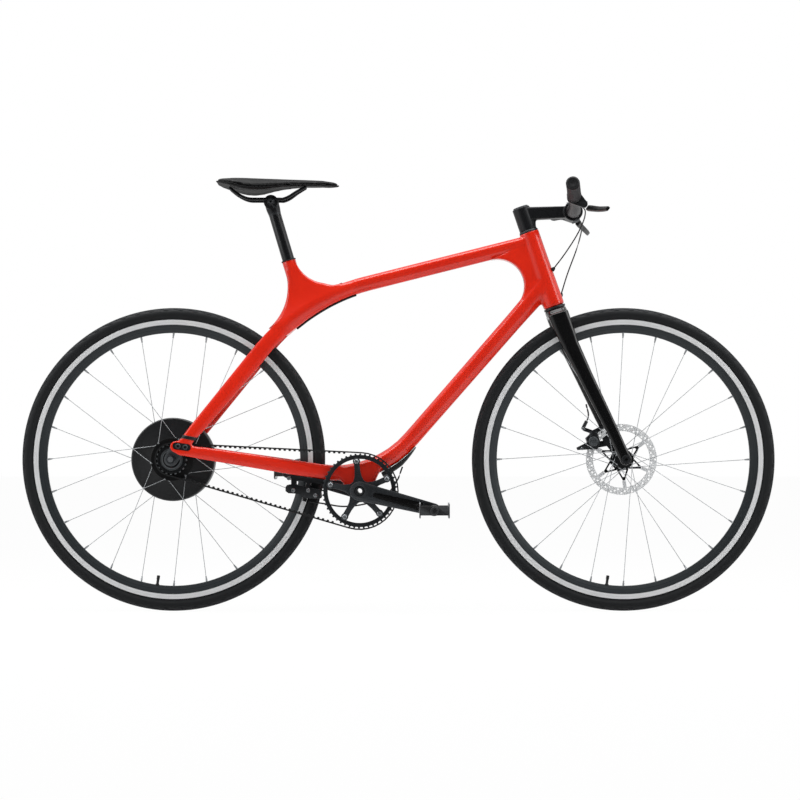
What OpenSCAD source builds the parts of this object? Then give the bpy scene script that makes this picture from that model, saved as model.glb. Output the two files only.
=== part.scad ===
// Electric bicycle with a moulded frame whose top tube sweeps into the seat stays,
// a motor in the rear hub and a toothed belt drive.
// Datum while modelling: rear axle at x = 0, ground at z = 0, y to the left.
// The finished part has its origin on the saddle, where the rider sits.

/* [Wheels] */
// Distance between the two axles
wheelbase = 1006; // [960:1:1060]
// Height of the tyres above the rims
tyre_h = 27; // [25:0.5:31]
// Width of the tyres
tyre_w = 28; // [25:1:32]
// Outer radius of the rims, where the tyre sits
rim_r = 312; // [308:1:316]
// Height of the machined brake track on the rims
track_h = 11; // [9:1:13]
// Height of the rims from the spoke bed to the tyre
rim_h = 29; // [24:1:34]
// Width of the rims across the brake tracks
rim_w = 24; // [21:1:26]
// Diameter of the spokes
spoke_d = 2; // [1.8:0.1:2.3]
// Number of spokes in each wheel
spoke_count = 24; // [20:4:32]
// Radius of the front hub's spoke flanges
hub_flange_r = 20; // [18:1:24]
// Distance of the front hub's flanges from the wheel's middle
hub_flange_y = 25; // [22:1:28]
// Radius of both axles
axle_r = 6; // [5:0.5:7]
// Outer radius of the brake rotor
rotor_r = 80; // [76:1:85]
// Thickness of the brake rotor
rotor_t = 2; // [1.6:0.1:2.4]

/* [Motor hub] */
// Radius of the motor's drum
motor_r = 93; // [80:1:100]
// Width of the motor's drum at its rim
motor_w = 44; // [36:1:48]
// Radius of the motor's spoke flanges
motor_flange_r = 47; // [42:1:52]
// Distance of the motor's flanges from the wheel's middle
motor_flange_y = 34; // [30:1:35]

/* [Frame] */
// Height of the axles above the bottom bracket
bb_drop = 70; // [60:1:80]
// Gap between the rear tyre and the bottom bracket's axis
bb_gap = 78; // [74:1:90]
// Radius of the bottom bracket shell
bb_shell_r = 23; // [21:1:25]
// Width of the bottom bracket shell
bb_shell_w = 69; // [66:1:70]
// Slope of the steering axis from the ground
head_angle = 71.2; // [69:0.1:74]
// Distance of the front axle ahead of the steering axis
fork_offset = 36; // [30:1:45]
// Gap between the front tyre and the fork's crown race, along the steering axis
crown_gap = 29; // [25:1:36]
// Length of the head tube
head_len = 176; // [150:1:190]
// Radius of the head tube at its upper end
head_top_r = 22; // [21:0.5:24]
// Radius of the head tube at its lower end
head_low_r = 24.5; // [23:0.5:26]
// Depth of the top tube
top_depth = 33; // [30:1:38]
// Width of the top tube
top_width = 35; // [30:1:40]
// Depth of the spine where it bends into the seat stays
knee_depth = 38; // [34:1:42]
// Depth of the seat stays at the dropouts
stay_end_depth = 28; // [24:1:30]
// Bend radius of the spine between top tube and seat stays
spine_bend_r = 430; // [380:10:460]
// Place of the corner where the top tube's line meets the seat stays' line, behind the bottom bracket
knee_back = 125; // [112:1:137]
// Height of that corner above the axles
knee_rise = 358; // [346:1:371]
// Depth of the down tube
down_depth = 39; // [35:1:44]
// Width of the down tube
down_width = 44; // [40:1:50]
// Bend radius between down tube and chainstays
down_bend_r = 215; // [200:5:230]
// Place of the corner where the down tube's line meets the chainstays' line, ahead of the bottom bracket
foot_ahead = 34; // [28:1:43]
// Depth of that corner below the axles
foot_drop = 46; // [41:1:49]
// Depth of the chainstays behind the bottom bracket
chainstay_depth = 33; // [30:1:36]
// Depth of the chainstays at the dropouts
chainstay_end_depth = 26; // [22:1:28]
// Width of each stay
stay_w = 15; // [12:1:16]
// Distance of the frame's rear ends from the bicycle's middle
dropout_y = 68; // [67:0.5:70]
// Thickness of the dropout plates
dropout_t = 6; // [5:0.5:7]
// Free gap beside the tyre between the stays and between the fork blades
tyre_gap = 6; // [5:0.5:8]

/* [Seat] */
// Slope of the seatpost from the ground
seat_angle = 73.4; // [72:0.1:75]
// Distance of the seat collar behind the bottom bracket
collar_back = 160; // [152:1:167]
// Height of the seat collar above the axles
collar_rise = 445; // [431:1:461]
// Radius of the seatpost
post_r = 13.6; // [12.5:0.1:15.8]
// Length of seatpost between the collar and the saddle clamp's bolt
post_out = 135; // [110:1:160]
// Radius of the saddle clamp
clamp_r = 16; // [14:1:18]
// Diameter of the saddle rails
rail_d = 7; // [6:0.5:8]
// Distance between the two saddle rails
rail_gap = 44; // [42:1:46]
// Length of the saddle
saddle_len = 274; // [260:1:290]
// Width of the saddle
saddle_w = 142; // [130:1:155]
// Height of the saddle's shell and padding
saddle_h = 34; // [30:1:40]
// Height of the saddle's top above the clamp's bolt
saddle_rise = 53; // [50:1:58]

/* [Steering] */
// Radius of the fork's steerer tube
steerer_r = 14.3; // [12.7:0.1:15.5]
// Height of the headset cups outside the head tube
cup_h = 5; // [4:0.5:6]
// Depth of the fork blades at the crown
fork_top_depth = 48; // [42:1:52]
// Depth of the fork blades at the axle
fork_end_depth = 26; // [22:1:28]
// Distance of the fork ends from the bicycle's middle
fork_end_y = 57; // [56:0.5:60]
// Width of the fork blades at the axle
fork_end_w = 13; // [11:0.5:14]
// Length of the stem from the steering axis to the handlebar
stem_len = 107; // [90:1:120]
// Height of the stem's base on the steerer
stem_base_h = 52; // [46:1:56]
// Drop of the handlebar below the stem's top, along the steering axis
stem_drop = 46; // [40:1:50]
// Radius of the stem's base around the steerer
stem_r = 19.5; // [18.5:0.5:22]
// Radius of the stem's clamp around the handlebar
stem_clamp_r = 21.5; // [20:0.5:24]
// Width of the stem's clamp
stem_clamp_w = 42; // [36:1:48]
// Diameter of the handlebar in the clamp
bar_clamp_d = 31.8; // [25.4:0.2:35]
// Diameter of the handlebar at the grips
bar_end_d = 22.2; // [21:0.2:24]
// Half the width of the handlebar
bar_half = 295; // [270:5:320]
// Rise of the handlebar's ends
bar_rise = 28; // [10:1:35]
// Backsweep of the handlebar's ends
bar_sweep = 22; // [10:1:40]
// Length of the grips
grip_len = 125; // [110:1:135]
// Diameter of the grips
grip_d = 30; // [28:0.5:33]
// Length of the brake lever blades
lever_len = 95; // [80:1:105]
// Slope of the brake lever blades below level
lever_drop = 36; // [25:1:45]

/* [Drive] */
// Pitch of the belt's teeth
belt_pitch = 11; // [10:0.5:12]
// Number of teeth on the chainring
ring_teeth = 48; // [44:1:50]
// Number of teeth on the rear sprocket
sprocket_teeth = 20; // [18:1:22]
// Width of the belt
belt_w = 11; // [9:0.5:11.5]
// Thickness of the belt's back
belt_t = 2.6; // [2:0.2:3.2]
// Height of the belt's teeth
tooth_h = 3; // [2.4:0.2:3.6]
// Distance of the belt's line from the bicycle's middle
belt_y = 44.5; // [44:0.5:46]
// Width of the chainring's and the sprocket's teeth
ring_w = 8; // [7:0.5:9]
// Length of the cranks
crank_len = 170; // [160:2.5:175]
// Slope of the right crank below level
crank_drop = 14; // [0:1:30]
// Width of the cranks
crank_w = 28; // [24:1:30]
// Thickness of the cranks
crank_t = 12; // [10:0.5:14]
// Distance of the cranks' inner faces from the bicycle's middle
crank_y = 58; // [57:0.5:60]
// Radius of the crank spindle
spindle_r = 12; // [11:0.5:13]
// Radius of the hole through the crank spindle
spindle_hole_r = 6; // [4:0.5:8]
// Length of the pedals along their axles
pedal_w = 88; // [80:1:96]
// Length of the pedals under the foot
pedal_len = 66; // [60:1:75]
// Height of the pedals
pedal_h = 30; // [26:1:34]
// Radius of the pedal axles
pedal_axle_r = 5; // [4.5:0.5:6]

/* [Hidden] */

// Faces on a full circle that carries no fit
$fn = 48;
// Overrun of every cut past the face that it opens
over = 2;
// Gap between pieces that are seated on each other
seat = 0.3;
// Radial clearance of a shaft that turns in its bore
run_fit = 0.05;
// Thickness of the thin slices that a hull spans
slice = 0.2;
// Gap between a turning piece and its fixed neighbour
turn_gap = 5;

// Outer radius of the tyres, and the fork's length from the axle to its crown
tyre_r = rim_r + tyre_h;
fork_length = tyre_r + crown_gap;

// Main places in the plane of the wheels, as [x, z]
rear_axle_p = [0, tyre_r];
front_axle_p = [wheelbase, tyre_r];
bb_p = [tyre_r + bb_gap, tyre_r - bb_drop];
knee_p = [bb_p[0] - knee_back, tyre_r + knee_rise];
foot_p = [bb_p[0] + foot_ahead, tyre_r - foot_drop];
collar_p = [bb_p[0] - collar_back, tyre_r + collar_rise];

// Directions of the steering axis and of the seatpost, and the forward normals to them
head_up = [-cos(head_angle), sin(head_angle)];
head_fore = [sin(head_angle), cos(head_angle)];
post_up = [-cos(seat_angle), sin(seat_angle)];
post_fore = [sin(seat_angle), cos(seat_angle)];

// Lower end of the head tube, and the saddle clamp's bolt
head_p = front_axle_p - fork_offset * head_fore + (fork_length + cup_h) * head_up;
clamp_p = collar_p + post_out * post_up;

// The rider's place on the saddle, which is the finished part's origin
rider_p = [clamp_p[0], clamp_p[1] + saddle_rise];

// Rear ends of the stays, beside and above the rear axle
end_shift_share = [0.9, 1];
stay_end = rear_axle_p + [end_shift_share[0] * stay_end_depth, end_shift_share[1] * stay_end_depth];
chainstay_end = rear_axle_p + [end_shift_share[0] * stay_end_depth, 0.8 * chainstay_end_depth];

// Where the top tube and the down tube meet the steering axis, as shares of the head tube
top_joint_share = 0.87;
low_joint_share = 0.31;
top_joint = head_p + top_joint_share * head_len * head_up;
low_joint = head_p + low_joint_share * head_len * head_up;

// Outline of [along, half width] points, closed by their mirror images
function mirrored(points) =
    concat(points, [for (k = [len(points) - 1 : -1 : 0]) [points[k][0], -points[k][1]]]);

// Vector helpers
function unit(v) = v / norm(v);
function turned(v, a) = [v[0] * cos(a) - v[1] * sin(a), v[0] * sin(a) + v[1] * cos(a)];
function lift(p, y = 0) = [p[0], y, p[1]];

// Point at share u of a path that runs from a towards corner c, round it at radius r, and on to b
function bend_point(a, c, b, r, u) =
    let (
        ua = unit(a - c),
        ub = unit(b - c),
        half = acos(ua * ub) / 2,
        run = r / tan(half),
        la = norm(a - c) - run,
        lb = norm(b - c) - run,
        sweep = 180 - 2 * half,
        arc = r * sweep * PI / 180,
        s = u * (la + arc + lb),
        middle = c + unit(ua + ub) * r / sin(half),
        spin = sign(cross(ua, ub))
    )
    s <= la ? a - ua * s
    : s >= la + arc ? c + ub * (run + s - la - arc)
    : middle + turned(c + ua * run - middle, -spin * sweep * (s - la) / arc);

// Direction of that path at share u
probe_share = 0.002;
function bend_way(a, c, b, r, u) =
    unit(bend_point(a, c, b, r, u + probe_share) - bend_point(a, c, b, r, u - probe_share));

// Half outline of the moulded tubes, as [share of half the width, share of half the depth],
// from the narrow top face over the side's crease to the broad lower face
tube_shares = [[0.5, 1], [0.9, 0.68], [1, 0.42], [0.9, -0.3], [0.46, -0.92], [0.3, -1]];
tube_outline_shares = concat(
    tube_shares,
    [for (i = [len(tube_shares) - 1 : -1 : 0]) [-tube_shares[i][0], tube_shares[i][1]]]
);

// Ring of a moulded tube at place p, across direction way, at distance y from the middle
function tube_ring(p, way, y, width, depth) =
    [for (s = tube_outline_shares) lift(p + s[1] * depth / 2 * [way[1], -way[0]], y + s[0] * width / 2)];

// Solid through a list of rings that have the same number of points
module skin(rings) {
    n = len(rings[0]);
    last = len(rings) - 1;
    polyhedron(
        points = [for (ring = rings) for (p = ring) p],
        faces = concat(
            [[for (k = [0 : n - 1]) k]],
            [for (i = [0 : last - 1]) for (k = [0 : n - 1])
                [i * n + k, (i + 1) * n + k, (i + 1) * n + (k + 1) % n, i * n + (k + 1) % n]],
            [[for (k = [n - 1 : -1 : 0]) last * n + k]]
        ),
        convexity = 6
    );
}

// Round ring of radius r at point p, across the direction way
function round_ring(p, way, r, sides) =
    let (
        across = unit(cross(way, abs(way[2]) > 0.9 ? [0, 1, 0] : [0, 0, 1])),
        up = unit(cross(across, way))
    )
    [for (k = [0 : sides - 1]) p + r * (cos(360 * k / sides) * across + sin(360 * k / sides) * up)];

// Direction of a route at its point i
function route_way(route, i) = unit(route[min(i + 1, len(route) - 1)] - route[max(i - 1, 0)]);

// Point at share t between the middle points of a smooth curve through four points
function curve_point(a, b, c, d, t) =
    0.5 * (2 * b + (c - a) * t + (2 * a - 5 * b + 4 * c - d) * t * t + (3 * b - a - 3 * c + d) * t * t * t);

// Smooth route through chosen points, with a number of steps between each pair
function smooth_route(points, steps) =
    let (last = len(points) - 1)
    concat(
        [for (i = [0 : last - 1]) for (k = [0 : steps - 1])
            let (before = points[max(i - 1, 0)], after = points[min(i + 2, last)])
            curve_point(before, points[i], points[i + 1], after, k / steps)],
        [points[last]]
    );

// Round tube of diameter d along a route
module round_tube(route, d, sides) {
    skin([for (i = [0 : len(route) - 1]) round_ring(route[i], route_way(route, i), d / 2, sides)]);
}

// Places children in the frame of the steering: origin at the head tube's foot, z up the steering axis
module on_head() {
    translate(lift(head_p)) rotate([0, head_angle - 90, 0]) children();
}

// Cylinder along the bicycle's width, from y to y + length
module cross_bar(r, y, length) {
    translate([0, y, 0]) rotate([-90, 0, 0]) cylinder(r = r, h = length);
}

// Turns a profile of [radius, y] points about an axle
module turned_on_axle(profile) {
    rotate([-90, 0, 0]) rotate_extrude() polygon(profile);
}

// Plate across the bicycle's width: an outline in the plane of the wheels, from y to y + t
module side_plate(y, t) {
    translate([0, y + t, 0]) rotate([90, 0, 0]) linear_extrude(t) children();
}

// Room that the frame and the fork leave round a tyre
module tyre_room(axle) {
    translate(lift(axle)) cross_bar(tyre_r + tyre_gap, -tyre_w / 2 - tyre_gap, tyre_w + 2 * tyre_gap);
}

// Frame

// Spine: share of its path, width and depth
spine_steps = 24;
spine_split_share = 0.64;
spine_widths = [[0, top_width], [0.35, top_width], [0.5, 1.2 * top_width], [0.64, 1.75 * top_width]];
spine_depths = [
    [0, top_depth], [0.4, top_depth], [0.55, knee_depth], [0.7, knee_depth],
    [0.85, (knee_depth + stay_end_depth) / 2], [1, stay_end_depth]
];
// Seat stays: share of the spine's path and distance from the middle
stay_steps = 14;
stay_start_share = 0.58;
stay_inner = tyre_w / 2 + tyre_gap + stay_w / 2;
stay_ys = [
    [0.58, 0.4 * stay_inner], [0.68, stay_inner], [0.74, 1.12 * stay_inner], [0.93, 0.93 * dropout_y],
    [0.97, dropout_y], [1, dropout_y]
];

function spine_point(u) = bend_point(top_joint, knee_p, stay_end, spine_bend_r, u);
function spine_way(u) = bend_way(top_joint, knee_p, stay_end, spine_bend_r, u);
function spine_ring(u, y, width) =
    tube_ring(spine_point(u), spine_way(u), y, width, lookup(u, spine_depths));

module spine() {
    skin([for (i = [0 : spine_steps])
        let (u = spine_split_share * i / spine_steps)
        spine_ring(u, 0, lookup(u, spine_widths))]);
    for (side = [-1, 1])
        skin([for (i = [0 : stay_steps])
            let (u = stay_start_share + (1 - stay_start_share) * i / stay_steps)
            spine_ring(u, side * lookup(u, stay_ys), stay_w)]);
}

// Keel: down tube, bottom bracket and chainstays on one path, with widths and depths by its shares
keel_steps = 24;
keel_split_share = 0.69;
keel_widths = [
    [0, down_width], [0.12, down_width], [0.45, 1.2 * down_width], [0.57, bb_shell_w], [0.7, bb_shell_w]
];
keel_depths = [
    [0, 1.15 * down_depth], [0.1, down_depth], [0.45, 0.95 * down_depth], [0.56, down_depth],
    [0.68, chainstay_depth], [0.76, chainstay_depth], [0.88, 0.88 * chainstay_depth], [1, chainstay_end_depth]
];
chainstay_start_share = 0.64;
chainstay_ys = [
    [0.64, bb_shell_w / 2 - stay_w / 2], [0.7, bb_shell_w / 2 - stay_w / 2], [0.75, 0.5 * dropout_y],
    [0.8, 0.6 * dropout_y], [0.87, 0.75 * dropout_y], [0.93, 0.9 * dropout_y], [0.97, dropout_y],
    [1, dropout_y]
];

function keel_point(u) = bend_point(low_joint, foot_p, chainstay_end, down_bend_r, u);
function keel_way(u) = bend_way(low_joint, foot_p, chainstay_end, down_bend_r, u);
function keel_ring(u, y, width) =
    tube_ring(keel_point(u), keel_way(u), y, width, lookup(u, keel_depths));

module keel() {
    skin([for (i = [0 : keel_steps])
        let (u = keel_split_share * i / keel_steps)
        keel_ring(u, 0, lookup(u, keel_widths))]);
    for (side = [-1, 1])
        skin([for (i = [0 : stay_steps])
            let (u = chainstay_start_share + (1 - chainstay_start_share) * i / stay_steps)
            keel_ring(u, side * lookup(u, chainstay_ys), stay_w)]);
}

// Hollow round edge of radius r in corner c, between the directions ua and ub of its two sides
web_steps = 10;
function web_edge(c, ua, ub, r) =
    let (
        half = acos(ua * ub) / 2,
        middle = c + unit(ua + ub) * r / sin(half),
        start = c + ua * r / tan(half),
        sweep = 180 - 2 * half,
        spin = sign(cross(ua, ub))
    )
    [for (i = [0 : web_steps]) middle + turned(start - middle, -spin * sweep * i / web_steps)];

// Where the line through a along u crosses the line through b along v
function crossing(a, u, b, v) = a + u * cross(b - a, v) / cross(u, v);

// Upper and lower edges of the spine and the keel in side view
function edge_of(p, way, depth, side) = p + side * depth / 2 * [way[1], -way[0]];
function spine_edge(u, side) = edge_of(spine_point(u), spine_way(u), lookup(u, spine_depths), side);
function keel_edge(u, side) = edge_of(keel_point(u), keel_way(u), lookup(u, keel_depths), side);

// Seat tube stub that stands on the spine, with webs that blend it into the stays and the top tube
collar_wall = 2;
collar_r = post_r + collar_wall;
stub_rear_web_r = 125;
stub_fore_web_r = 78;
stub_web_w = 1.7 * collar_r;
stub_shares = [for (u = [0.48 : 0.005 : 0.66]) u];
stub_misses = [for (u = stub_shares) abs(cross(spine_edge(u, 1) - collar_p, post_up))];
stub_share = [for (i = [0 : len(stub_shares) - 1]) if (stub_misses[i] == min(stub_misses)) stub_shares[i]][0];
stub_foot = spine_point(stub_share);
stub_reach_share = 0.04;
module seat_stub() {
    translate(lift(collar_p)) rotate([0, seat_angle - 90, 0])
        mirror([0, 0, 1]) cylinder(r = collar_r, h = norm(collar_p - stub_foot));
    for (side = [-1, 1]) {
        way = -side * spine_way(stub_share - side * stub_reach_share);
        face = collar_p + side * (collar_r - collar_wall) * post_fore;
        corner = crossing(face, post_up, spine_edge(stub_share - side * stub_reach_share, 1), way);
        r = side < 0 ? stub_rear_web_r : stub_fore_web_r;
        side_plate(-stub_web_w / 2, stub_web_w)
            polygon(concat([stub_foot, stub_foot + post_up * knee_depth], web_edge(corner, post_up, way, r)));
    }
}

// Head tube, and the web behind it whose round throat joins the top tube to the down tube
throat_r = 60;
throat_w = 0.9 * top_width;
throat_top_share = 0.1;
throat_low_share = 0.2;
module head_tube() {
    on_head() hull() {
        cylinder(r = head_low_r, h = slice);
        translate([0, 0, head_len - slice]) cylinder(r = head_top_r, h = slice);
    }
    upper_way = spine_way(throat_top_share);
    lower_way = keel_way(throat_low_share);
    corner = crossing(
        spine_edge(throat_top_share, -1), upper_way, keel_edge(throat_low_share, 1), lower_way
    );
    side_plate(-throat_w / 2, throat_w)
        polygon(concat([low_joint, top_joint], web_edge(corner, upper_way, lower_way, throat_r)));
}

// Rear ends of the frame: round shoes where seat stay and chainstay meet
end_r_share = 0.46;
end_back_share = 0.45;
module frame_ends() {
    for (side = [-1, 1])
        hull() {
            for (p = [stay_end, chainstay_end, stay_end - [end_back_share * stay_end_depth, 0]])
                translate(lift(p))
                    cross_bar(end_r_share * stay_end_depth, side * dropout_y - stay_w / 2, stay_w);
        }
}

// Long recess in each shoe's outer face, where two bolts hold the dropout plate
recess_d = 2.5;
recess_slope = 8;
recess_r_share = 0.29;
recess_reach_share = 0.44;
module end_recesses() {
    for (side = [0, 1])
        mirror([0, side, 0])
            translate(lift(stay_end, dropout_y + stay_w / 2 - recess_d)) rotate([0, recess_slope, 0])
                side_plate(0, recess_d + over)
                    hull()
                        for (k = [-1, 1])
                            translate([k * recess_reach_share * stay_end_depth, 0])
                                circle(recess_r_share * stay_end_depth);
}

// Shell of the bottom bracket, blended up into the keel
shell_web_shares = [0.56, 0.64];
shell_web_r = 0.3 * down_depth;
module bb_shell() {
    translate(lift(bb_p)) cross_bar(bb_shell_r, -bb_shell_w / 2, bb_shell_w);
    hull() {
        translate(lift(bb_p)) cross_bar(bb_shell_r, -bb_shell_w / 2, bb_shell_w);
        for (u = shell_web_shares)
            translate(lift(keel_point(u))) cross_bar(shell_web_r, -bb_shell_w / 2, bb_shell_w);
    }
}

cup_sleeve_h = 14;
cup_wall = 4;
bb_cup_wall = 6;
module frame() {
    color("crimson")
        difference() {
            union() {
                spine();
                keel();
                seat_stub();
                head_tube();
                frame_ends();
                bb_shell();
            }
            tyre_room(rear_axle_p);
            end_recesses();
            on_head()
                translate([0, 0, -over])
                    cylinder(r = steerer_r + cup_wall + seat, h = head_len + 2 * over);
            translate(lift(bb_p))
                cross_bar(spindle_r + bb_cup_wall + seat, -bb_shell_w / 2 - over, bb_shell_w + 2 * over);
            translate(lift(collar_p)) rotate([0, seat_angle - 90, 0])
                translate([0, 0, -post_in])
                    cylinder(r = post_r + seat, h = post_in + over);
        }
}

// Black guard under the down tube's foot
cover_from_share = 0.47;
cover_to_share = 0.56;
cover_t = 12;
cover_steps = 6;
// Guard's depth along it, and its section as shares of the down tube's width and of its depth
cover_depth_shares = [[0, 0.2], [0.25, 0.55], [0.5, 0.92], [0.75, 1], [1, 0.96]];
cover_section_shares = [[-0.42, 0], [0.42, 0], [0.3, -0.8], [0.16, -1], [-0.16, -1], [-0.3, -0.8]];
module bottom_cover() {
    color("#202224")
        skin([for (i = [0 : cover_steps])
            let (
                u = cover_from_share + (cover_to_share - cover_from_share) * i / cover_steps,
                way = keel_way(u),
                up = [way[1], -way[0]],
                low = keel_point(u) - (lookup(u, keel_depths) / 2 + seat) * up,
                t = cover_t * lookup(i / cover_steps, cover_depth_shares)
            )
            [for (s = cover_section_shares)
                lift(low + s[1] * t * up, s[0] * down_width)]]);
}

// Bearing cups of the cranks: sleeve in the shell, lip on its face
bb_lip = 2;
bb_sleeve = 14;
module bottom_bracket() {
    color("#1d1f21")
        for (side = [0, 1])
            translate(lift(bb_p)) mirror([0, side, 0])
                turned_on_axle([
                    [spindle_r + run_fit, bb_shell_w / 2 - bb_sleeve],
                    [spindle_r + bb_cup_wall, bb_shell_w / 2 - bb_sleeve],
                    [spindle_r + bb_cup_wall, bb_shell_w / 2 + seat],
                    [bb_shell_r - over, bb_shell_w / 2 + seat],
                    [bb_shell_r - over, bb_shell_w / 2 + seat + bb_lip],
                    [spindle_r + run_fit, bb_shell_w / 2 + seat + bb_lip]
                ]);
}

// Headset cups: sleeve in the head tube, flange outside it
module headset_cups() {
    color("#1b1d1f")
        on_head() {
            rotate_extrude() polygon([
                [steerer_r + run_fit, -cup_h], [head_low_r, -cup_h], [head_low_r, -seat],
                [steerer_r + cup_wall, -seat], [steerer_r + cup_wall, cup_sleeve_h],
                [steerer_r + run_fit, cup_sleeve_h]
            ]);
            translate([0, 0, head_len]) rotate_extrude() polygon([
                [steerer_r + run_fit, cup_h], [head_top_r - over, cup_h], [head_top_r, seat],
                [steerer_r + cup_wall, seat], [steerer_r + cup_wall, -cup_sleeve_h],
                [steerer_r + run_fit, -cup_sleeve_h]
            ]);
        }
}

// Seat

post_in = 62;
module seatpost() {
    color("#1a1b1d")
        translate(lift(collar_p)) rotate([0, seat_angle - 90, 0])
            translate([0, 0, -post_in + over])
                cylinder(r = post_r, h = post_in - over + post_out - clamp_r - seat);
}

// Clamp on the post's head: a drum across the bicycle with seats for the rails
clamp_w = 36;
clamp_nut_share = 0.55;
rail_lift = 6;
rail_z = clamp_p[1] + rail_lift;
module saddle_clamp() {
    color("#1c1d1f")
        translate(lift(clamp_p))
            difference() {
                union() {
                    cross_bar(clamp_r, -clamp_w / 2, clamp_w);
                    for (side = [-1, 1])
                        cross_bar(clamp_nut_share * clamp_r, side * clamp_w / 2 - rail_d, 2 * rail_d);
                }
                for (side = [-1, 1])
                    translate([-2 * clamp_r, side * rail_gap / 2, rail_z - clamp_p[1]])
                        rotate([0, 90, 0]) cylinder(d = rail_d + 2 * seat, h = 4 * clamp_r);
            }
}

// Saddle rails: share of the saddle's length, distance from the middle and height as shares
rail_shares = [
    [-0.34, 0.85, 1.41], [-0.27, 0.95, 0.6], [-0.19, 1, 0.06], [-0.12, 1, 0], [-0.07, 1, 0],
    [0.07, 1, 0], [0.1, 1, 0], [0.15, 0.97, 0.3], [0.21, 0.75, 0.9], [0.285, 0.45, 1.52]
];
rail_steps = 3;
rail_sides = 10;
module saddle_rails() {
    color("#141516")
        for (side = [-1, 1])
            round_tube(
                smooth_route([for (s = rail_shares)
                    [clamp_p[0] + s[0] * saddle_len, side * s[1] * rail_gap / 2,
                        rail_z + s[2] * (saddle_rise - saddle_h)]], rail_steps),
                rail_d, rail_sides);
}

// Saddle: share of its length, share of its width, drop of its top and depth as shares of its height
saddle_back_share = 0.445;
saddle_shares = [
    [0, 0.42, 0.06, 0.2], [0.03, 0.72, 0.01, 0.34], [0.12, 0.97, 0, 0.56], [0.22, 1, 0.03, 0.76],
    [0.3, 0.92, 0.05, 0.82], [0.38, 0.78, 0.05, 0.76], [0.48, 0.58, 0.05, 0.6], [0.58, 0.42, 0.05, 0.5],
    [0.72, 0.3, 0.05, 0.44], [0.86, 0.26, 0.08, 0.42], [0.95, 0.21, 0.17, 0.36], [1, 0.1, 0.28, 0.2]
];
// Half section of the saddle: share of its depth, share of half its width
saddle_section_shares = [
    [0, 0.3], [0.06, 0.62], [0.24, 0.86], [0.55, 1], [0.85, 0.98], [1, 0.9], [0.86, 0.5]
];
module saddle() {
    top = rider_p[1];
    back = rider_p[0] - saddle_back_share * saddle_len;
    color("#1f2022")
        skin([for (s = saddle_shares)
            [for (c = mirrored(saddle_section_shares))
                [back + s[0] * saddle_len, c[1] * s[1] * saddle_w / 2,
                    top - (s[2] + c[0] * s[3]) * saddle_h]]]);
}

// Rear end

plate_y = dropout_y - stay_w / 2 - seat - dropout_t;
plate_r = 15;
plate_head_share = 0.4;
plate_tail_share = 0.16;
plate_reach_share = 0.8;
module dropout_plates() {
    color("#3a3d40")
        for (side = [0, 1])
            mirror([0, side, 0])
                difference() {
                    side_plate(plate_y, dropout_t)
                        hull() {
                            translate(rear_axle_p) circle(plate_r);
                            translate(stay_end) circle(plate_head_share * stay_end_depth);
                            translate(stay_end - [plate_reach_share * stay_end_depth, 0])
                                circle(plate_tail_share * stay_end_depth);
                        }
                    translate(lift(rear_axle_p))
                        cross_bar(axle_r + seat, plate_y - over, dropout_t + 2 * over);
                }
}

nut_r = 11;
nut_h = 9;
axle_tail = 4;
module rear_axle() {
    outer = plate_y + dropout_t + seat;
    color("silver")
        translate(lift(rear_axle_p)) {
            cross_bar(axle_r, -outer - nut_h - axle_tail, 2 * (outer + nut_h + axle_tail));
            for (side = [0, 1])
                mirror([0, side, 0]) translate([0, outer, 0]) rotate([-90, 0, 0])
                    cylinder(r = nut_r, h = nut_h, $fn = 6);
        }
}

// Rim brake under the chainstays, its pads on the brake track
brake_slope = 13;
pad_r = rim_r - track_h / 2;
pad_len = 50;
pad_h = 9;
pad_t = 10;
pad_gap = 2;
arm_t = 10;
pad_p = rear_axle_p + pad_r * [cos(brake_slope), -sin(brake_slope)];
module rear_brake_pads() {
    color("#17181a")
        for (side = [0, 1])
            mirror([0, side, 0])
                translate(lift(pad_p, rim_w / 2 + pad_gap)) rotate([0, brake_slope, 0])
                    translate([-pad_h / 2, 0, -pad_len / 2]) cube([pad_h, pad_t, pad_len]);
}

// Each arm: a base bar bolted under the stay between two shares of the keel, and a lever below it
base_r = 5;
base_shares = [0.682, 0.75];
// Lever's outline ahead of and above the pad, as shares of its length
lever_arm_l = 78;
lever_arm_shares = [
    [-0.6, 0.1], [-0.55, 0.16], [-0.36, 0.17], [0.39, 0.02], [0.41, -0.2], [0.38, -0.24], [-0.06, -0.22],
    [-0.2, -0.1], [-0.52, -0.08], [-0.6, -0.02]
];
// Posts between bar and lever: place ahead of the pad and radius, as shares of the lever's length
post_shares = [[-0.38, 0.06], [0.05, 0.06]];
function base_at(u) = keel_edge(u, -1) - [0, base_r + 2 * seat];
function base_on(x) = let (a = base_at(base_shares[0]), b = base_at(base_shares[1]))
    b + (a - b) * (x - b[0]) / (a[0] - b[0]);
module rear_brake() {
    y0 = rim_w / 2 + pad_gap + pad_t + seat;
    color("#202225")
        for (side = [0, 1])
            mirror([0, side, 0])
                side_plate(y0, arm_t) {
                    hull()
                        for (u = base_shares)
                            translate(base_at(u)) circle(base_r);
                    polygon([for (s = lever_arm_shares) pad_p + lever_arm_l * s]);
                    for (s = post_shares) {
                        x = pad_p[0] + s[0] * lever_arm_l;
                        hull() {
                            translate(base_on(x)) circle(s[1] * lever_arm_l);
                            translate([x, pad_p[1]]) circle(s[1] * lever_arm_l);
                        }
                    }
                }
}

// Drive

ring_pitch_r = ring_teeth * belt_pitch / (2 * PI);
sprocket_pitch_r = sprocket_teeth * belt_pitch / (2 * PI);
tip_in = 0.8;
ring_tip_r = ring_pitch_r - tip_in;
sprocket_tip_r = sprocket_pitch_r - tip_in;

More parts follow.
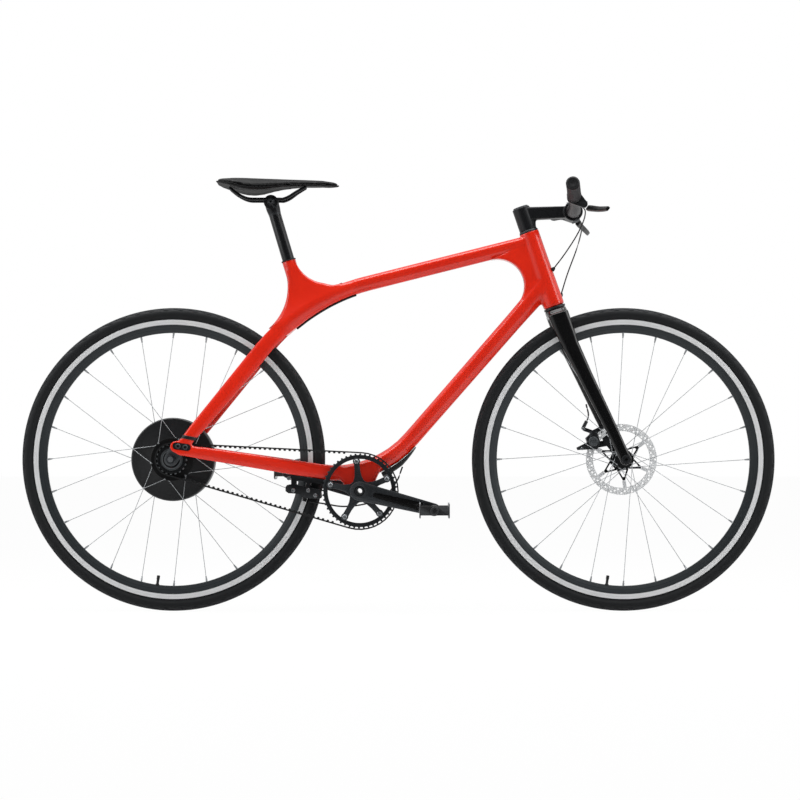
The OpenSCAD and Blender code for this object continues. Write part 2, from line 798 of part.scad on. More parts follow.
// Both wheels' centres in the belt's own plane: from the cranks to the rear axle
belt_span = norm(bb_p - rear_axle_p);
belt_lean = asin((ring_pitch_r - sprocket_pitch_r) / belt_span);
belt_turn = atan2(rear_axle_p[1] - bb_p[1], rear_axle_p[0] - bb_p[0]);
wrap_steps = 20;

// Loop round both wheels at a distance outside their pitch lines, x from the cranks to the rear axle
function wrap(centre, r, from, to) =
    [for (i = [0 : wrap_steps])
        let (a = from + (to - from) * i / wrap_steps)
        [centre + r * cos(a), r * sin(a)]];
function belt_loop(out) = concat(
    wrap(0, ring_pitch_r + out, 90 - belt_lean, 270 + belt_lean),
    wrap(belt_span, sprocket_pitch_r + out, -90 + belt_lean, 90 - belt_lean)
);

run_len = belt_span * cos(belt_lean);
wrap_teeth = 3;
run_teeth = floor(run_len / belt_pitch) - 2 * wrap_teeth;
tooth_top_share = 0.34;
tooth_foot_share = 0.56;
module belt_teeth() {
    inner = -tip_in + seat;
    for (side = [0, 1])
        mirror([0, side])
            rotate(90 - belt_lean) translate([ring_pitch_r + inner, 0])
                for (i = [0 : run_teeth - 1])
                    translate([0, -(wrap_teeth + i + 1 / 2) * belt_pitch])
                        polygon([
                            [over / 4, -tooth_foot_share * belt_pitch / 2],
                            [over / 4, tooth_foot_share * belt_pitch / 2],
                            [-tooth_h, tooth_top_share * belt_pitch / 2],
                            [-tooth_h, -tooth_top_share * belt_pitch / 2]
                        ]);
}

module drive_belt() {
    color("#1a1b1c")
        translate(lift(bb_p, -belt_y - belt_w / 2)) rotate([0, -belt_turn, 0])
            side_plate(0, belt_w) {
                difference() {
                    polygon(belt_loop(belt_t));
                    polygon(belt_loop(-tip_in + seat));
                }
                belt_teeth();
            }
}

// Toothed rim: the grooves take the belt's teeth, the lands end at the tips
// Points of one tooth and groove: share of the tooth's step, and 0 at the tip or 1 at the root
tooth_shares = [[0, 0], [0.124, 1], [0.62, 1], [0.744, 0]];
module toothed_disc(teeth, tip_r) {
    step = 360 / teeth;
    root = tip_r - tooth_h;
    polygon([for (i = [0 : teeth - 1]) for (s = tooth_shares)
        let (a = (i + s[0]) * step, r = s[1] == 0 ? tip_r : root) [r * cos(a), r * sin(a)]]);
}

// Rear sprocket: a toothed rim, a sunk web, and a lock ring that stands out of it
lock_r = 20;
lock_h = 2;
web_r = 26;
web_sink = 3;
module rear_sprocket() {
    face = -belt_y - ring_w / 2;
    color("silver")
        translate(lift(rear_axle_p))
            difference() {
                union() {
                    difference() {
                        side_plate(face, ring_w) toothed_disc(sprocket_teeth, sprocket_tip_r);
                        cross_bar(web_r, face - over, web_sink + over);
                    }
                    cross_bar(lock_r, face - lock_h, ring_w / 2 + lock_h);
                }
                cross_bar(axle_r + run_fit, -belt_y - ring_w - over, 2 * ring_w + over);
            }
}

// Bolt circle and inner edge of the chainring
ring_bolt_r = 66;
ring_inner_r = 71;
tab_r = 8;
bolt_hole_share = 0.4;
spider_count = 5;
spider_turn = 96;
spider_t = 5;
module spider_spots() {
    for (i = [0 : spider_count - 1])
        rotate(spider_turn + 360 * i / spider_count) translate([ring_bolt_r, 0]) children();
}

module chainring() {
    color("#4a4e52")
        translate(lift(bb_p))
            side_plate(-belt_y - ring_w / 2, ring_w)
                difference() {
                    union() {
                        difference() {
                            toothed_disc(ring_teeth, ring_tip_r);
                            circle(ring_inner_r);
                        }
                        spider_spots() circle(tab_r);
                    }
                    spider_spots() circle(bolt_hole_share * tab_r);
                }
}

crank_end = bb_p + crank_len * [cos(crank_drop), -sin(crank_drop)];
crank_boss_r = 21;
module crank_outline() {
    hull() {
        circle(crank_boss_r);
        translate([crank_len, 0]) circle(crank_w / 2);
    }
}

// Right crank with the five-armed spider that carries the chainring
spider_y = belt_y + ring_w / 2 + seat;
// Spider arm: distance along it and half its width, as shares of the bolt circle's radius
spider_arm_shares = [[0.2, 0.26], [0.36, 0.17], [0.5, 0.12], [0.7, 0.095], [1, 0.1]];
spider_disc_share = 1.2;
module spider_outline() {
    circle(spider_disc_share * crank_boss_r);
    for (i = [0 : spider_count - 1])
        rotate(spider_turn + 360 * i / spider_count)
            polygon(ring_bolt_r * mirrored(spider_arm_shares));
    spider_spots() circle(tab_r);
}

// Long recess in a crank's outer face, wider towards the pedal
recess_start = 31;
recess_end_gap = 26;
crank_recess_d = 3;
recess_width_shares = [0.42, 0.72];
module crank_recess() {
    half = crank_w / 2 * recess_width_shares;
    to = crank_len - recess_end_gap;
    polygon([[recess_start, -half[0]], [to, -half[1]], [to, half[1]], [recess_start, half[0]]]);
}
boss_inner_share = 0.85;
module right_crank() {
    color("#26282a")
        translate(lift(bb_p))
            difference() {
                union() {
                    rotate([0, crank_drop, 0])
                        side_plate(-crank_y - crank_t, crank_t) crank_outline();
                    side_plate(-spider_y - spider_t, spider_t) spider_outline();
                    cross_bar(boss_inner_share * crank_boss_r, -crank_y - crank_t / 2,
                        crank_y + crank_t / 2 - spider_y - spider_t / 2);
                }
                cross_bar(spindle_r, -crank_y - crank_t - over, crank_t + crank_y);
                rotate([0, crank_drop, 0]) {
                    translate([crank_len, 0, 0])
                        cross_bar(pedal_axle_r, -crank_y - crank_t - over, crank_t + 2 * over);
                    side_plate(-crank_y - crank_t - over, over + crank_recess_d) crank_recess();
                }
            }
}

module left_crank() {
    color("#26282a")
        translate(lift(bb_p)) rotate([0, 180 + crank_drop, 0])
            difference() {
                union() {
                    side_plate(crank_y, crank_t) crank_outline();
                    cross_bar(boss_inner_share * crank_boss_r, bb_shell_w / 2 + bb_lip + turn_gap,
                        crank_y - bb_shell_w / 2 - bb_lip - turn_gap + over);
                }
                cross_bar(spindle_r, bb_shell_w / 2, crank_y + crank_t + over - bb_shell_w / 2);
                translate([crank_len, 0, 0])
                    cross_bar(pedal_axle_r, crank_y - over, crank_t + 2 * over);
                side_plate(crank_y + crank_t - crank_recess_d, over + crank_recess_d) crank_recess();
            }
}

module spindle() {
    color("#3a3c3e")
        translate(lift(bb_p))
            difference() {
                cross_bar(spindle_r, -crank_y - crank_t, 2 * (crank_y + crank_t));
                cross_bar(spindle_hole_r, -crank_y - crank_t - over, 2 * (crank_y + crank_t + over));
            }
}

pedal_start = crank_y + crank_t + turn_gap;
module pedal_axles() {
    left_end = 2 * bb_p - crank_end;
    reach = pedal_start + pedal_w - over;
    color("silver") {
        translate(lift(crank_end)) cross_bar(pedal_axle_r, -reach, reach - crank_y);
        translate(lift(left_end)) cross_bar(pedal_axle_r, crank_y, reach - crank_y);
    }
}

// Pedal: bearing barrel, two cross plates and serrated cage plates fore and aft
cage_t = 3;
pedal_teeth = 6;
barrel_r = 11;
module pedal(y) {
    difference() {
        union() {
            cross_bar(barrel_r, y, pedal_w);
            for (k = [0, 1])
                translate([-pedal_len / 2, y + k * (pedal_w - pedal_h / 3), -pedal_h / 3])
                    cube([pedal_len, pedal_h / 3, pedal_h * 2 / 3]);
            for (k = [0, 1])
                mirror([k, 0, 0])
                    translate([pedal_len / 2 - cage_t, y, -pedal_h / 2])
                        cube([cage_t, pedal_w, pedal_h]);
        }
        cross_bar(pedal_axle_r + run_fit, y - over, pedal_w + 2 * over);
        for (k = [0 : pedal_teeth - 1]) for (s = [0, 1])
            mirror([0, 0, s])
                translate([-pedal_len / 2 - over, y + (k + 0.5) * pedal_w / pedal_teeth, pedal_h / 2])
                    rotate([45, 0, 0])
                        translate([0, -pedal_h / 12, -pedal_h / 12])
                            cube([pedal_len + 2 * over, pedal_h / 6, pedal_h / 6]);
    }
}
module right_pedal() {
    color("#2a2c2e") translate(lift(crank_end)) pedal(-pedal_start - pedal_w);
}
module left_pedal() {
    color("#2a2c2e") translate(lift(2 * bb_p - crank_end)) pedal(pedal_start);
}

// Wheels

// Tyre: a round carcass on a foot that fills the rim
tyre_foot_share = 0.68;
module tyre() {
    foot_w = tyre_foot_share * tyre_w;
    color("#232528")
        rotate([-90, 0, 0])
            rotate_extrude()
                difference() {
                    union() {
                        translate([tyre_r - tyre_w / 2, 0]) circle(tyre_w / 2);
                        translate([rim_r, -foot_w / 2]) square([tyre_h / 2, foot_w]);
                    }
                    translate([0, -tyre_w]) square([rim_r + seat, 2 * tyre_w]);
                }
}
module front_tyre() { translate(lift(front_axle_p)) tyre(); }
module rear_tyre() { translate(lift(rear_axle_p)) tyre(); }

// Rim: flat brake tracks, then flanks that taper to the spoke bed
bed_w = 12;
module rim() {
    color("#3a4043")
        turned_on_axle([
            [rim_r, -rim_w / 2], [rim_r, rim_w / 2], [rim_r - track_h, rim_w / 2],
            [rim_r - 0.8 * rim_h, bed_w / 2], [rim_r - rim_h, bed_w / 4],
            [rim_r - rim_h, -bed_w / 4], [rim_r - 0.8 * rim_h, -bed_w / 2], [rim_r - track_h, -rim_w / 2]
        ]);
}
module front_rim() { translate(lift(front_axle_p)) rim(); }
module rear_rim() { translate(lift(rear_axle_p)) rim(); }

// Bar from point a to point b
module bar_between(a, b, d) {
    way = b - a;
    translate(a)
        rotate([0, acos(way[2] / norm(way)), atan2(way[1], way[0])])
            cylinder(d = d, h = norm(way));
}

// Crossed spokes between a pair of flanges and the rim
head_offset = 3;
flange_t = 2.4;
flange_lip = 1;
module spokes(flange_r, flange_y, cross_angle) {
    step = 360 / spoke_count;
    color("#2b2d2f")
        for (i = [0 : spoke_count - 1]) {
            side = i % 2 == 0 ? -1 : 1;
            lead = floor(i / 2) % 2 == 0 ? -1 : 1;
            hub_a = i * step + lead * cross_angle;
            rim_a = i * step;
            r = rim_r - rim_h - seat;
            bar_between(
                [flange_r * cos(hub_a), side * (flange_y + lead * head_offset), flange_r * sin(hub_a)],
                [r * cos(rim_a), side * bed_w / 8, r * sin(rim_a)],
                spoke_d);
        }
}
front_cross = 62;
rear_cross = 40;
module front_spokes() { translate(lift(front_axle_p)) spokes(hub_flange_r, hub_flange_y, front_cross); }
module rear_spokes() { translate(lift(rear_axle_p)) spokes(motor_flange_r, motor_flange_y, rear_cross); }

// Front hub: a slim barrel with two flanges and a seat for the rotor on the left
hub_r = 13;
rotor_y = 40;
hub_end_y = fork_end_y - fork_end_w / 2 - seat;
rotor_seat_r = 22;
rotor_seat_t = 4;
hub_waist_share = 0.8;
module front_hub() {
    waist = hub_waist_share * hub_r;
    b = axle_r + run_fit;
    lip_r = hub_flange_r + flange_lip;
    inner = hub_flange_y - flange_t / 2;
    outer = hub_flange_y + flange_t / 2;
    rotor_face = rotor_y - rotor_t / 2 - seat;
    color("#17181a")
        translate(lift(front_axle_p))
            turned_on_axle([
                [b, -hub_end_y], [waist, -hub_end_y], [hub_r, -outer], [lip_r, -outer], [lip_r, -inner],
                [hub_r, -inner], [waist, 0], [hub_r, inner], [lip_r, inner], [lip_r, outer], [hub_r, outer],
                [hub_r, rotor_face - rotor_seat_t], [rotor_seat_r, rotor_face - rotor_seat_t],
                [rotor_seat_r, rotor_face], [waist, rotor_face], [waist, hub_end_y], [b, hub_end_y]
            ]);
}

// Rotor: six-armed carrier on the hub, perforated ring round it
ring_depth = 16;
carrier_arms = 6;
rotor_turn = 37;
// Star arm: share of the rotor's radius along it, and half its width as such a share; then its window
star_shares = [[0.2, 0.15], [0.3, 0.16], [0.55, 0.05], [0.6, 0.035]];
window_shares = [[0.31, 0.1], [0.38, 0.075], [0.5, 0.025]];
// Silver tab that reaches in from the ring to the star's tip
tab_from_share = 0.61;
tab_width_share = 0.1;
module round_carrier() {
    for (i = [0 : carrier_arms - 1])
        rotate(rotor_turn + 360 * i / carrier_arms) children();
}
module rotor_spider() {
    color("#141516")
        translate(lift(front_axle_p))
            side_plate(rotor_y - rotor_t / 2, rotor_t)
                difference() {
                    union() {
                        circle(rotor_seat_r);
                        round_carrier() polygon(rotor_r * mirrored(star_shares));
                    }
                    circle(hub_r);
                    round_carrier() polygon(rotor_r * mirrored(window_shares));
                }
}
ring_holes = 60;
hole_share = 0.13;
module rotor_ring() {
    tab_from = tab_from_share * rotor_r;
    color("silver")
        translate(lift(front_axle_p))
            side_plate(rotor_y - rotor_t / 2, rotor_t)
                difference() {
                    union() {
                        difference() {
                            circle(rotor_r);
                            circle(rotor_r - ring_depth);
                        }
                        round_carrier()
                            translate([tab_from, -tab_width_share * rotor_r / 2])
                                square([rotor_r - ring_depth / 2 - tab_from, tab_width_share * rotor_r]);
                    }
                    for (i = [0 : ring_holes - 1])
                        rotate(360 * i / ring_holes)
                            translate([rotor_r - ring_depth * (i % 3 + 1) / 4, 0])
                                circle(hole_share * ring_depth);
                }
}

// Motor in the rear hub: a drum with conical sides and a spoke flange each side
boss_r = 26;
neck_r = 40;
boss_taper_share = 0.8;
module motor_hub() {
    b = axle_r + run_fit;
    lip_r = motor_flange_r + flange_lip;
    inner = motor_flange_y - flange_t / 2;
    outer = motor_flange_y + flange_t / 2;
    shoulder = inner - 2 * spoke_d;
    left_end = plate_y - turn_gap / 2;
    right_end = belt_y - ring_w / 2 - turn_gap / 2;
    color("#1c1d1f")
        translate(lift(rear_axle_p))
            turned_on_axle([
                [b, -right_end], [boss_r, -right_end], [boss_r, -outer], [lip_r, -outer], [lip_r, -inner],
                [neck_r, -inner], [neck_r, -shoulder], [motor_r - flange_t, -motor_w / 2],
                [motor_r, flange_t - motor_w / 2], [motor_r, motor_w / 2 - flange_t],
                [motor_r - flange_t, motor_w / 2], [neck_r, shoulder], [neck_r, inner],
                [lip_r, inner], [lip_r, outer], [boss_r, outer],
                [boss_taper_share * boss_r, left_end], [b, left_end]
            ]);
}

// Steering

// Fork blades: share of the fork's length, share of its offset, distance from the middle, width and depth
fork_rows = [
    [0.03, 0.02, stay_inner, 1.9 * fork_end_w, fork_top_depth],
    [0.13, 0.05, 1.06 * stay_inner, 1.7 * fork_end_w, 0.95 * fork_top_depth],
    [0.24, 0.12, 1.14 * stay_inner, 1.5 * fork_end_w, 0.82 * fork_top_depth],
    [0.45, 0.36, 1.45 * stay_inner, 1.3 * fork_end_w, 0.7 * fork_top_depth],
    [0.7, 0.66, 0.93 * fork_end_y, 1.1 * fork_end_w, 1.15 * fork_end_depth],
    [0.85, 0.84, fork_end_y, fork_end_w, 1.05 * fork_end_depth],
    [1, 1, fork_end_y, fork_end_w, fork_end_depth]
];
// Rows inside the blades' tops that the crown spans, with the same columns
crown_rows = [
    [0.008, 0, 0.85 * stay_inner, 1.1 * fork_end_w, 0.8 * fork_top_depth],
    [0.05, 0.03, stay_inner, 1.7 * fork_end_w, 0.93 * fork_top_depth]
];
blade_sides = 12;
blade_round_share = 0.8;
// Oval ring across a blade, in the steering's frame
function blade_ring(s, side) =
    [for (k = [0 : blade_sides - 1])
        let (a = 360 * k / blade_sides, c = cos(a), q = sin(a))
        [s[1] * fork_offset + s[4] / 2 * sign(c) * pow(abs(c), blade_round_share),
            side * s[2] + s[3] / 2 * sign(q) * pow(abs(q), blade_round_share),
            -s[0] * fork_length - cup_h]];
crown_h = 26;
module fork() {
    axle_z = -fork_length - cup_h;
    color("#1d1f22")
        on_head() difference() {
            union() {
                for (side = [-1, 1]) {
                    for (i = [0 : len(fork_rows) - 2])
                        hull() skin([blade_ring(fork_rows[i], side), blade_ring(fork_rows[i + 1], side)]);
                    translate([fork_offset, side * fork_end_y - fork_end_w / 2, axle_z])
                        rotate([-90, 0, 0]) cylinder(r = fork_end_depth / 2, h = fork_end_w);
                }
                hull() {
                    translate([0, 0, -cup_h - seat - crown_h / 2])
                        cylinder(r = head_low_r - over / 4, h = crown_h / 2);
                    for (side = [-1, 1])
                        skin([for (row = crown_rows) blade_ring(row, side)]);
                }
            }
            translate([fork_offset, 0, axle_z]) {
                cross_bar(tyre_r + tyre_gap, -tyre_w / 2 - tyre_gap, tyre_w + 2 * tyre_gap);
                cross_bar(axle_r + seat, -2 * fork_end_y, 4 * fork_end_y);
            }
            translate([0, 0, -cup_h - 2 * crown_h]) cylinder(r = steerer_r + seat, h = 2 * crown_h + over);
        }
}

stem_top = head_len + cup_h + seat + stem_base_h;
steerer_in = 16;
module steerer() {
    color("#2a2c2e")
        on_head()
            translate([0, 0, -cup_h - steerer_in])
                cylinder(r = steerer_r, h = stem_top - over + cup_h + steerer_in);
}

// Stem: base round the steerer, level arm, and a clamp that is split from its faceplate
bar_local = [stem_len, stem_top - stem_drop];
arm_h = 25;
stem_arm_w = 30;
split_t = 1.5;
stem_web_r = 15;
stem_web_w = 22;
arm_end_share = 0.9;
module stem() {
    base_z = head_len + cup_h + seat;
    arm_foot = [stem_arm_w / 2, stem_top - arm_h];
    arm_way = unit(bar_local - [0, arm_h / 2] - arm_foot);
    corner = crossing([stem_r, 0], [0, 1], arm_foot, arm_way);
    edge = web_edge(corner, [0, -1], arm_way, stem_web_r);
    color("#1b1c1e")
        on_head()
            difference() {
                union() {
                    translate([0, 0, base_z]) cylinder(r = stem_r, h = stem_base_h);
                    hull() {
                        translate([0, 0, stem_top - arm_h])
                            cylinder(r = stem_arm_w / 2, h = arm_end_share * arm_h);
                        translate(lift(bar_local)) cross_bar(arm_h / 2, -stem_arm_w / 2, stem_arm_w);
                    }
                    side_plate(-stem_web_w / 2, stem_web_w)
                        polygon(concat([[0, edge[0][1]]], edge, [[0, corner[1] + over]]));
                    translate(lift(bar_local)) cross_bar(stem_clamp_r, -stem_clamp_w / 2, stem_clamp_w);
                }
                translate([0, 0, base_z - over]) cylinder(r = steerer_r + seat, h = stem_base_h);
                translate(lift(bar_local)) {
                    cross_bar(bar_clamp_d / 2 + seat, -stem_clamp_w, 2 * stem_clamp_w);
                    translate([0, -stem_clamp_w, -2 * stem_clamp_r])
                        cube([2 * stem_clamp_r, 2 * stem_clamp_w, 4 * stem_clamp_r]);
                }
            }
}
module stem_faceplate() {
    color("#1b1c1e")
        on_head() translate(lift(bar_local))
            difference() {
                cross_bar(stem_clamp_r, -stem_clamp_w / 2, stem_clamp_w);
                cross_bar(bar_clamp_d / 2 + seat, -stem_clamp_w, 2 * stem_clamp_w);
                translate([split_t - 2 * stem_clamp_r, -stem_clamp_w, -2 * stem_clamp_r])
                    cube([2 * stem_clamp_r, 2 * stem_clamp_w, 4 * stem_clamp_r]);
            }
}

// Handlebar: share of half its width, share of its sweep, share of its rise, share of the taper
bar_p = head_p + bar_local[0] * head_fore + bar_local[1] * head_up;
bar_shares = [
    [0, 0, 0, 0], [0.12, 0, 0, 0], [0.2, 0.03, 0.06, 0.3], [0.3, 0.1, 0.22, 0.75], [0.42, 0.25, 0.42, 1],
    [0.54, 0.4, 0.58, 1], [0.66, 0.53, 0.7, 1], [0.8, 0.72, 0.84, 1], [1, 1, 1, 1]
];
bar_sides = 16;
function bar_at(s, side) = lift(bar_p + [-s[1] * bar_sweep, s[2] * bar_rise], side * s[0] * bar_half);
bar_rows = concat(
    [for (i = [len(bar_shares) - 1 : -1 : 1]) concat(bar_at(bar_shares[i], -1), bar_shares[i][3])],
    [for (s = bar_shares) concat(bar_at(s, 1), s[3])]
);
bar_route = [for (row = bar_rows) [row[0], row[1], row[2]]];
module handlebar() {
    color("#2c2b2e")
        skin([for (i = [0 : len(bar_route) - 1])
            round_ring(bar_route[i], route_way(bar_route, i),
                (bar_clamp_d + (bar_end_d - bar_clamp_d) * bar_rows[i][3]) / 2, bar_sides)]);
}

// Point and direction on the bar's outer stretch at distance y from the middle
function bar_share_at(y, k) =
    lookup(y / bar_half, [for (s = bar_shares) [s[0], s[k]]]);
function bar_place(y, side) =
    lift(bar_p + [-bar_share_at(y, 1) * bar_sweep, bar_share_at(y, 2) * bar_rise], side * y);

// Grips: ribbed sleeves with a closed end
grip_steps = 8;
module grips() {
    color("#3f3b3e")
        for (side = [-1, 1]) {
            inner = bar_half - grip_len;
            route = [for (i = [0 : grip_steps])
                bar_place(inner + (grip_len - over) * i / grip_steps, side)];
            outer_rings = [for (i = [0 : grip_steps])
                round_ring(route[i], route_way(route, i), grip_d / 2, bar_sides)];
            inner_rings = [for (i = [grip_steps : -1 : 0])
                round_ring(route[i], route_way(route, i), bar_end_d / 2 + seat, bar_sides)];
            sleeve(concat(outer_rings, inner_rings));
        }
}

// Closed sleeve through rings that return inside to their start
module sleeve(rings) {
    n = len(rings[0]);
    count = len(rings);
    polyhedron(
        points = [for (ring = rings) for (p = ring) p],
        faces = [for (i = [0 : count - 1]) for (k = [0 : n - 1])
            let (j = (i + 1) % count)
            [i * n + k, j * n + k, j * n + (k + 1) % n, i * n + (k + 1) % n]],
        convexity = 6
    );
}

// Brake levers: a clamp ring and body on the bar, and a blade that reaches out along the grip
lever_gap = 11;
ring_wide = 14;
lever_y = bar_half - grip_len - lever_gap - ring_wide / 2;
ring_wall = 4;
lever_body_len = 34;
pivot_r = 7.5;
port_x = 25;
adjuster_r = 4.5;
adjuster_len = 15;
module on_lever() {
    for (side = [0, 1])
        mirror([0, side, 0])
            translate(bar_place(lever_y, 1)) rotate([0, lever_drop, 0]) children();
}
module lever_mounts() {
    ring_r = bar_end_d / 2 + seat + ring_wall;
    color("#1a1b1d")
        on_lever()
            difference() {
                union() {
                    side_plate(-ring_wide / 2, ring_wide)
                        hull() {
                            circle(ring_r);
                            translate([lever_body_len - pivot_r, 0]) circle(pivot_r);
                        }
                    translate([port_x, 0, 0])
                        cross_bar(adjuster_r, -ring_wide / 2 - adjuster_len, adjuster_len + over);
                }
                cross_bar(bar_end_d / 2 + 5 * seat, -ring_wide, 2 * ring_wide);
            }
}

// Lever blade: shares of its length, of its reach ahead, of its rise, of its width and of its thickness
blade_reach = 34;
blade_rise = 8;
blade_w = 9;
blade_t = 13;
blade_section_shares = [
    [-0.5, -0.35], [-0.35, -0.5], [0.35, -0.5], [0.5, -0.35],
    [0.5, 0.35], [0.35, 0.5], [-0.35, 0.5], [-0.5, 0.35]
];
blade_shares = [
    [0, 0, 0, 1, 1], [0.2, 0.2, 0.1, 1, 1], [0.5, 0.58, 0.45, 0.9, 0.92], [0.8, 0.86, 0.8, 0.9, 0.85],
    [1, 1, 1, 0.78, 0.77]
];
module lever_blades() {
    color("#1a1b1d")
        on_lever()
            translate([lever_body_len + seat + blade_w / 2, -ring_wide / 2, 0])
                skin([for (s = blade_shares)
                    [for (c = blade_section_shares)
                        [s[1] * blade_reach + c[0] * s[3] * blade_w, s[0] * (lever_len + ring_wide),
                            s[2] * blade_rise + c[1] * s[4] * blade_t]]]);
}

// Front brake caliper over the rotor's edge: its outline from the axle, as shares of the rotor's radius
caliper_shares = [
    [-0.85, 0.83], [-0.71, 0.78], [-0.61, 0.51], [-0.63, 0.37], [-0.69, 0.29], [-0.92, 0.28], [-0.98, 0.51],
    [-1.01, 0.6], [-0.9, 0.7]
];
// Tail of the body, the arm that the cable pulls, and the lugs that bolt it to its adapter
tail_shares = [[-0.8, 0.285], [-1.25, 0.26], [-1.28, 0.33], [-0.9, 0.52]];
pull_shares = [[-0.78, 0.7], [-1.08, 0.8], [-1.14, 0.86], [-1.1, 0.92], [-0.82, 0.82]];
lug_shares = [[[-0.74, 0.76], [-0.58, 0.84]], [[-0.64, 0.42], [-0.42, 0.46]]];
// Cable adjuster on the pull arm, from its foot to its top
barrel_shares = [[-1.1, 0.86], [-0.99, 1.08]];
barrel_d = 8;
caliper_in = 11.5;
caliper_out = 15;
caliper_arm_t = 6;
lug_r = 7;
lug_t = 3.5;
lug_out = 8;
slot_gap = 1.2;
function on_rotor(share) = front_axle_p + rotor_r * share;
module rotor_outline(shares) {
    polygon([for (s = shares) on_rotor(s)]);
}
module front_caliper() {
    inner = rotor_y - caliper_in;
    color("#1e2022")
        difference() {
            union() {
                side_plate(inner, caliper_in + caliper_out) rotor_outline(caliper_shares);
                side_plate(inner, caliper_arm_t) {
                    rotor_outline(tail_shares);
                    rotor_outline(pull_shares);
                }
                side_plate(rotor_y + lug_out - lug_t, lug_t)
                    for (lug = lug_shares)
                        hull()
                            for (s = lug)
                                translate(on_rotor(s)) circle(lug_r);
                bar_between(lift(on_rotor(barrel_shares[0]), inner + caliper_arm_t / 2),
                    lift(on_rotor(barrel_shares[1]), inner + caliper_arm_t / 2), barrel_d);
            }
            translate(lift(front_axle_p))
                cross_bar(rotor_r + over, rotor_y - rotor_t / 2 - slot_gap, rotor_t + 2 * slot_gap);
        }
}

// Adapter: a bar between the lugs and the fork blade, on two bosses that stand on the blade's inner face
adapter_shares = [[-0.56, 0.86], [-0.42, 0.52], [-0.25, 0.32]];
// Bosses: place as shares of the rotor's radius, and how far each stops short of the fork end's face
adapter_bosses = [[-0.46, 0.66, 1.6], [-0.25, 0.32, 0.5]];
adapter_boss_r = 5;
module caliper_adapter() {
    y0 = rotor_y + rotor_t / 2 + slot_gap;
    y1 = rotor_y + lug_out - lug_t - seat;
    face = fork_end_y - fork_end_w / 2;
    color("#1e2022") {
        side_plate(y0, y1 - y0)
            for (i = [0 : len(adapter_shares) - 2])
                hull()
                    for (k = [0, 1])
                        translate(on_rotor(adapter_shares[i + k])) circle(lug_r);
        for (b = adapter_bosses)
            translate(lift(on_rotor([b[0], b[1]])))
                cross_bar(adapter_boss_r, y0 + slot_gap, face - b[2] - y0 - slot_gap);
    }
}

cap_r = 10;
cap_t = 5;
cap_hex_share = 0.6;
module front_axle() {
    outer = fork_end_y + fork_end_w / 2 + seat;
    color("#2a2c2e")
        translate(lift(front_axle_p))
            difference() {
                union() {
                    cross_bar(axle_r, -outer - cap_t, 2 * (outer + cap_t));
                    for (side = [0, 1])
                        mirror([0, side, 0]) cross_bar(cap_r, outer, cap_t);
                }
                translate([0, -outer - cap_t - over, 0]) rotate([-90, 0, 0])
                    cylinder(r = cap_hex_share * axle_r, h = over + cap_t, $fn = 6);
            }
}

// Brake cables
cable_d = 5;
cable_steps = 4;
cable_sides = 8;
port_p = bar_place(lever_y, 0) + port_x * [cos(lever_drop), 0, -sin(lever_drop)];
port_y = lever_y - ring_wide / 2 - adjuster_len - 3 * seat;
front_upper_route = [
    [port_p[0], -port_y, port_p[2]], [907, -113, 890], [914, -88, 884], [913, -58, 868],
    [900, -32, 838], [873, -17, 796], [848, -10, 763.5]
];
rear_upper_route = [
    [port_p[0], port_y, port_p[2]], [907, 113, 890], [916, 86, 883], [918, 56, 862],
    [905, 32, 815], [883, 20, 757], [867.4, 12.2, 707.4]
];
rear_cable_route = [
    [512, 0, 323], [508, -2, 312], [499, -9, 290], [474, -18, 258],
    [430, -21, 240], [380, -21, 234], [340, -23, 240], [305, -30, 245]
];
barrel_way = unit(barrel_shares[1] - barrel_shares[0]);
barrel_top = on_rotor(barrel_shares[1]) + 2 * seat * barrel_way;
barrel_y = rotor_y - caliper_in + caliper_arm_t / 2;
front_cable_route = [
    [927, 48, 464], [929, 46, 455], [931, 40, 445], [931, 34, 437],
    lift(barrel_top + barrel_d / 2 * barrel_way, barrel_y), lift(barrel_top, barrel_y)
];
module upper_cables() {
    color("#17181a") {
        round_tube(smooth_route(front_upper_route, cable_steps), cable_d, cable_sides);
        round_tube(smooth_route(rear_upper_route, cable_steps), cable_d, cable_sides);
    }
}
module rear_brake_cable() {
    color("#17181a") round_tube(smooth_route(rear_cable_route, cable_steps), cable_d, cable_sides);
}
module front_brake_cable() {
    color("#17181a") round_tube(smooth_route(front_cable_route, cable_steps), cable_d, cable_sides);
}

// Moves the bicycle so that its origin is the rider's place on the saddle
module placed() {
    translate([-rider_p[0], 0, -rider_p[1]]) children();
}

placed() frame();
placed() bottom_cover();
placed() bottom_bracket();
placed() headset_cups();
placed() seatpost();
placed() saddle_clamp();
placed() saddle_rails();
placed() saddle();
placed() dropout_plates();
placed() rear_axle();
placed() rear_brake();
placed() rear_brake_pads();
placed() rear_brake_cable();
placed() drive_belt();
placed() upper_cables();
placed() fork();
placed() steerer();
placed() stem();
placed() stem_faceplate();
placed() handlebar();
placed() grips();
placed() lever_mounts();
placed() lever_blades();
placed() front_caliper();
placed() caliper_adapter();
placed() front_axle();
placed() front_brake_cable();
placed() front_tyre();
placed() front_rim();
placed() front_spokes();
placed() front_hub();
placed() rotor_spider();
placed() rotor_ring();
placed() rear_tyre();
placed() rear_rim();
placed() rear_spokes();
placed() motor_hub();
placed() rear_sprocket();
placed() spindle();
placed() right_crank();
placed() chainring();
placed() left_crank();
placed() pedal_axles();
placed() right_pedal();
placed() left_pedal();
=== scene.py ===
import math

import bpy
from mathutils import Matrix, Vector


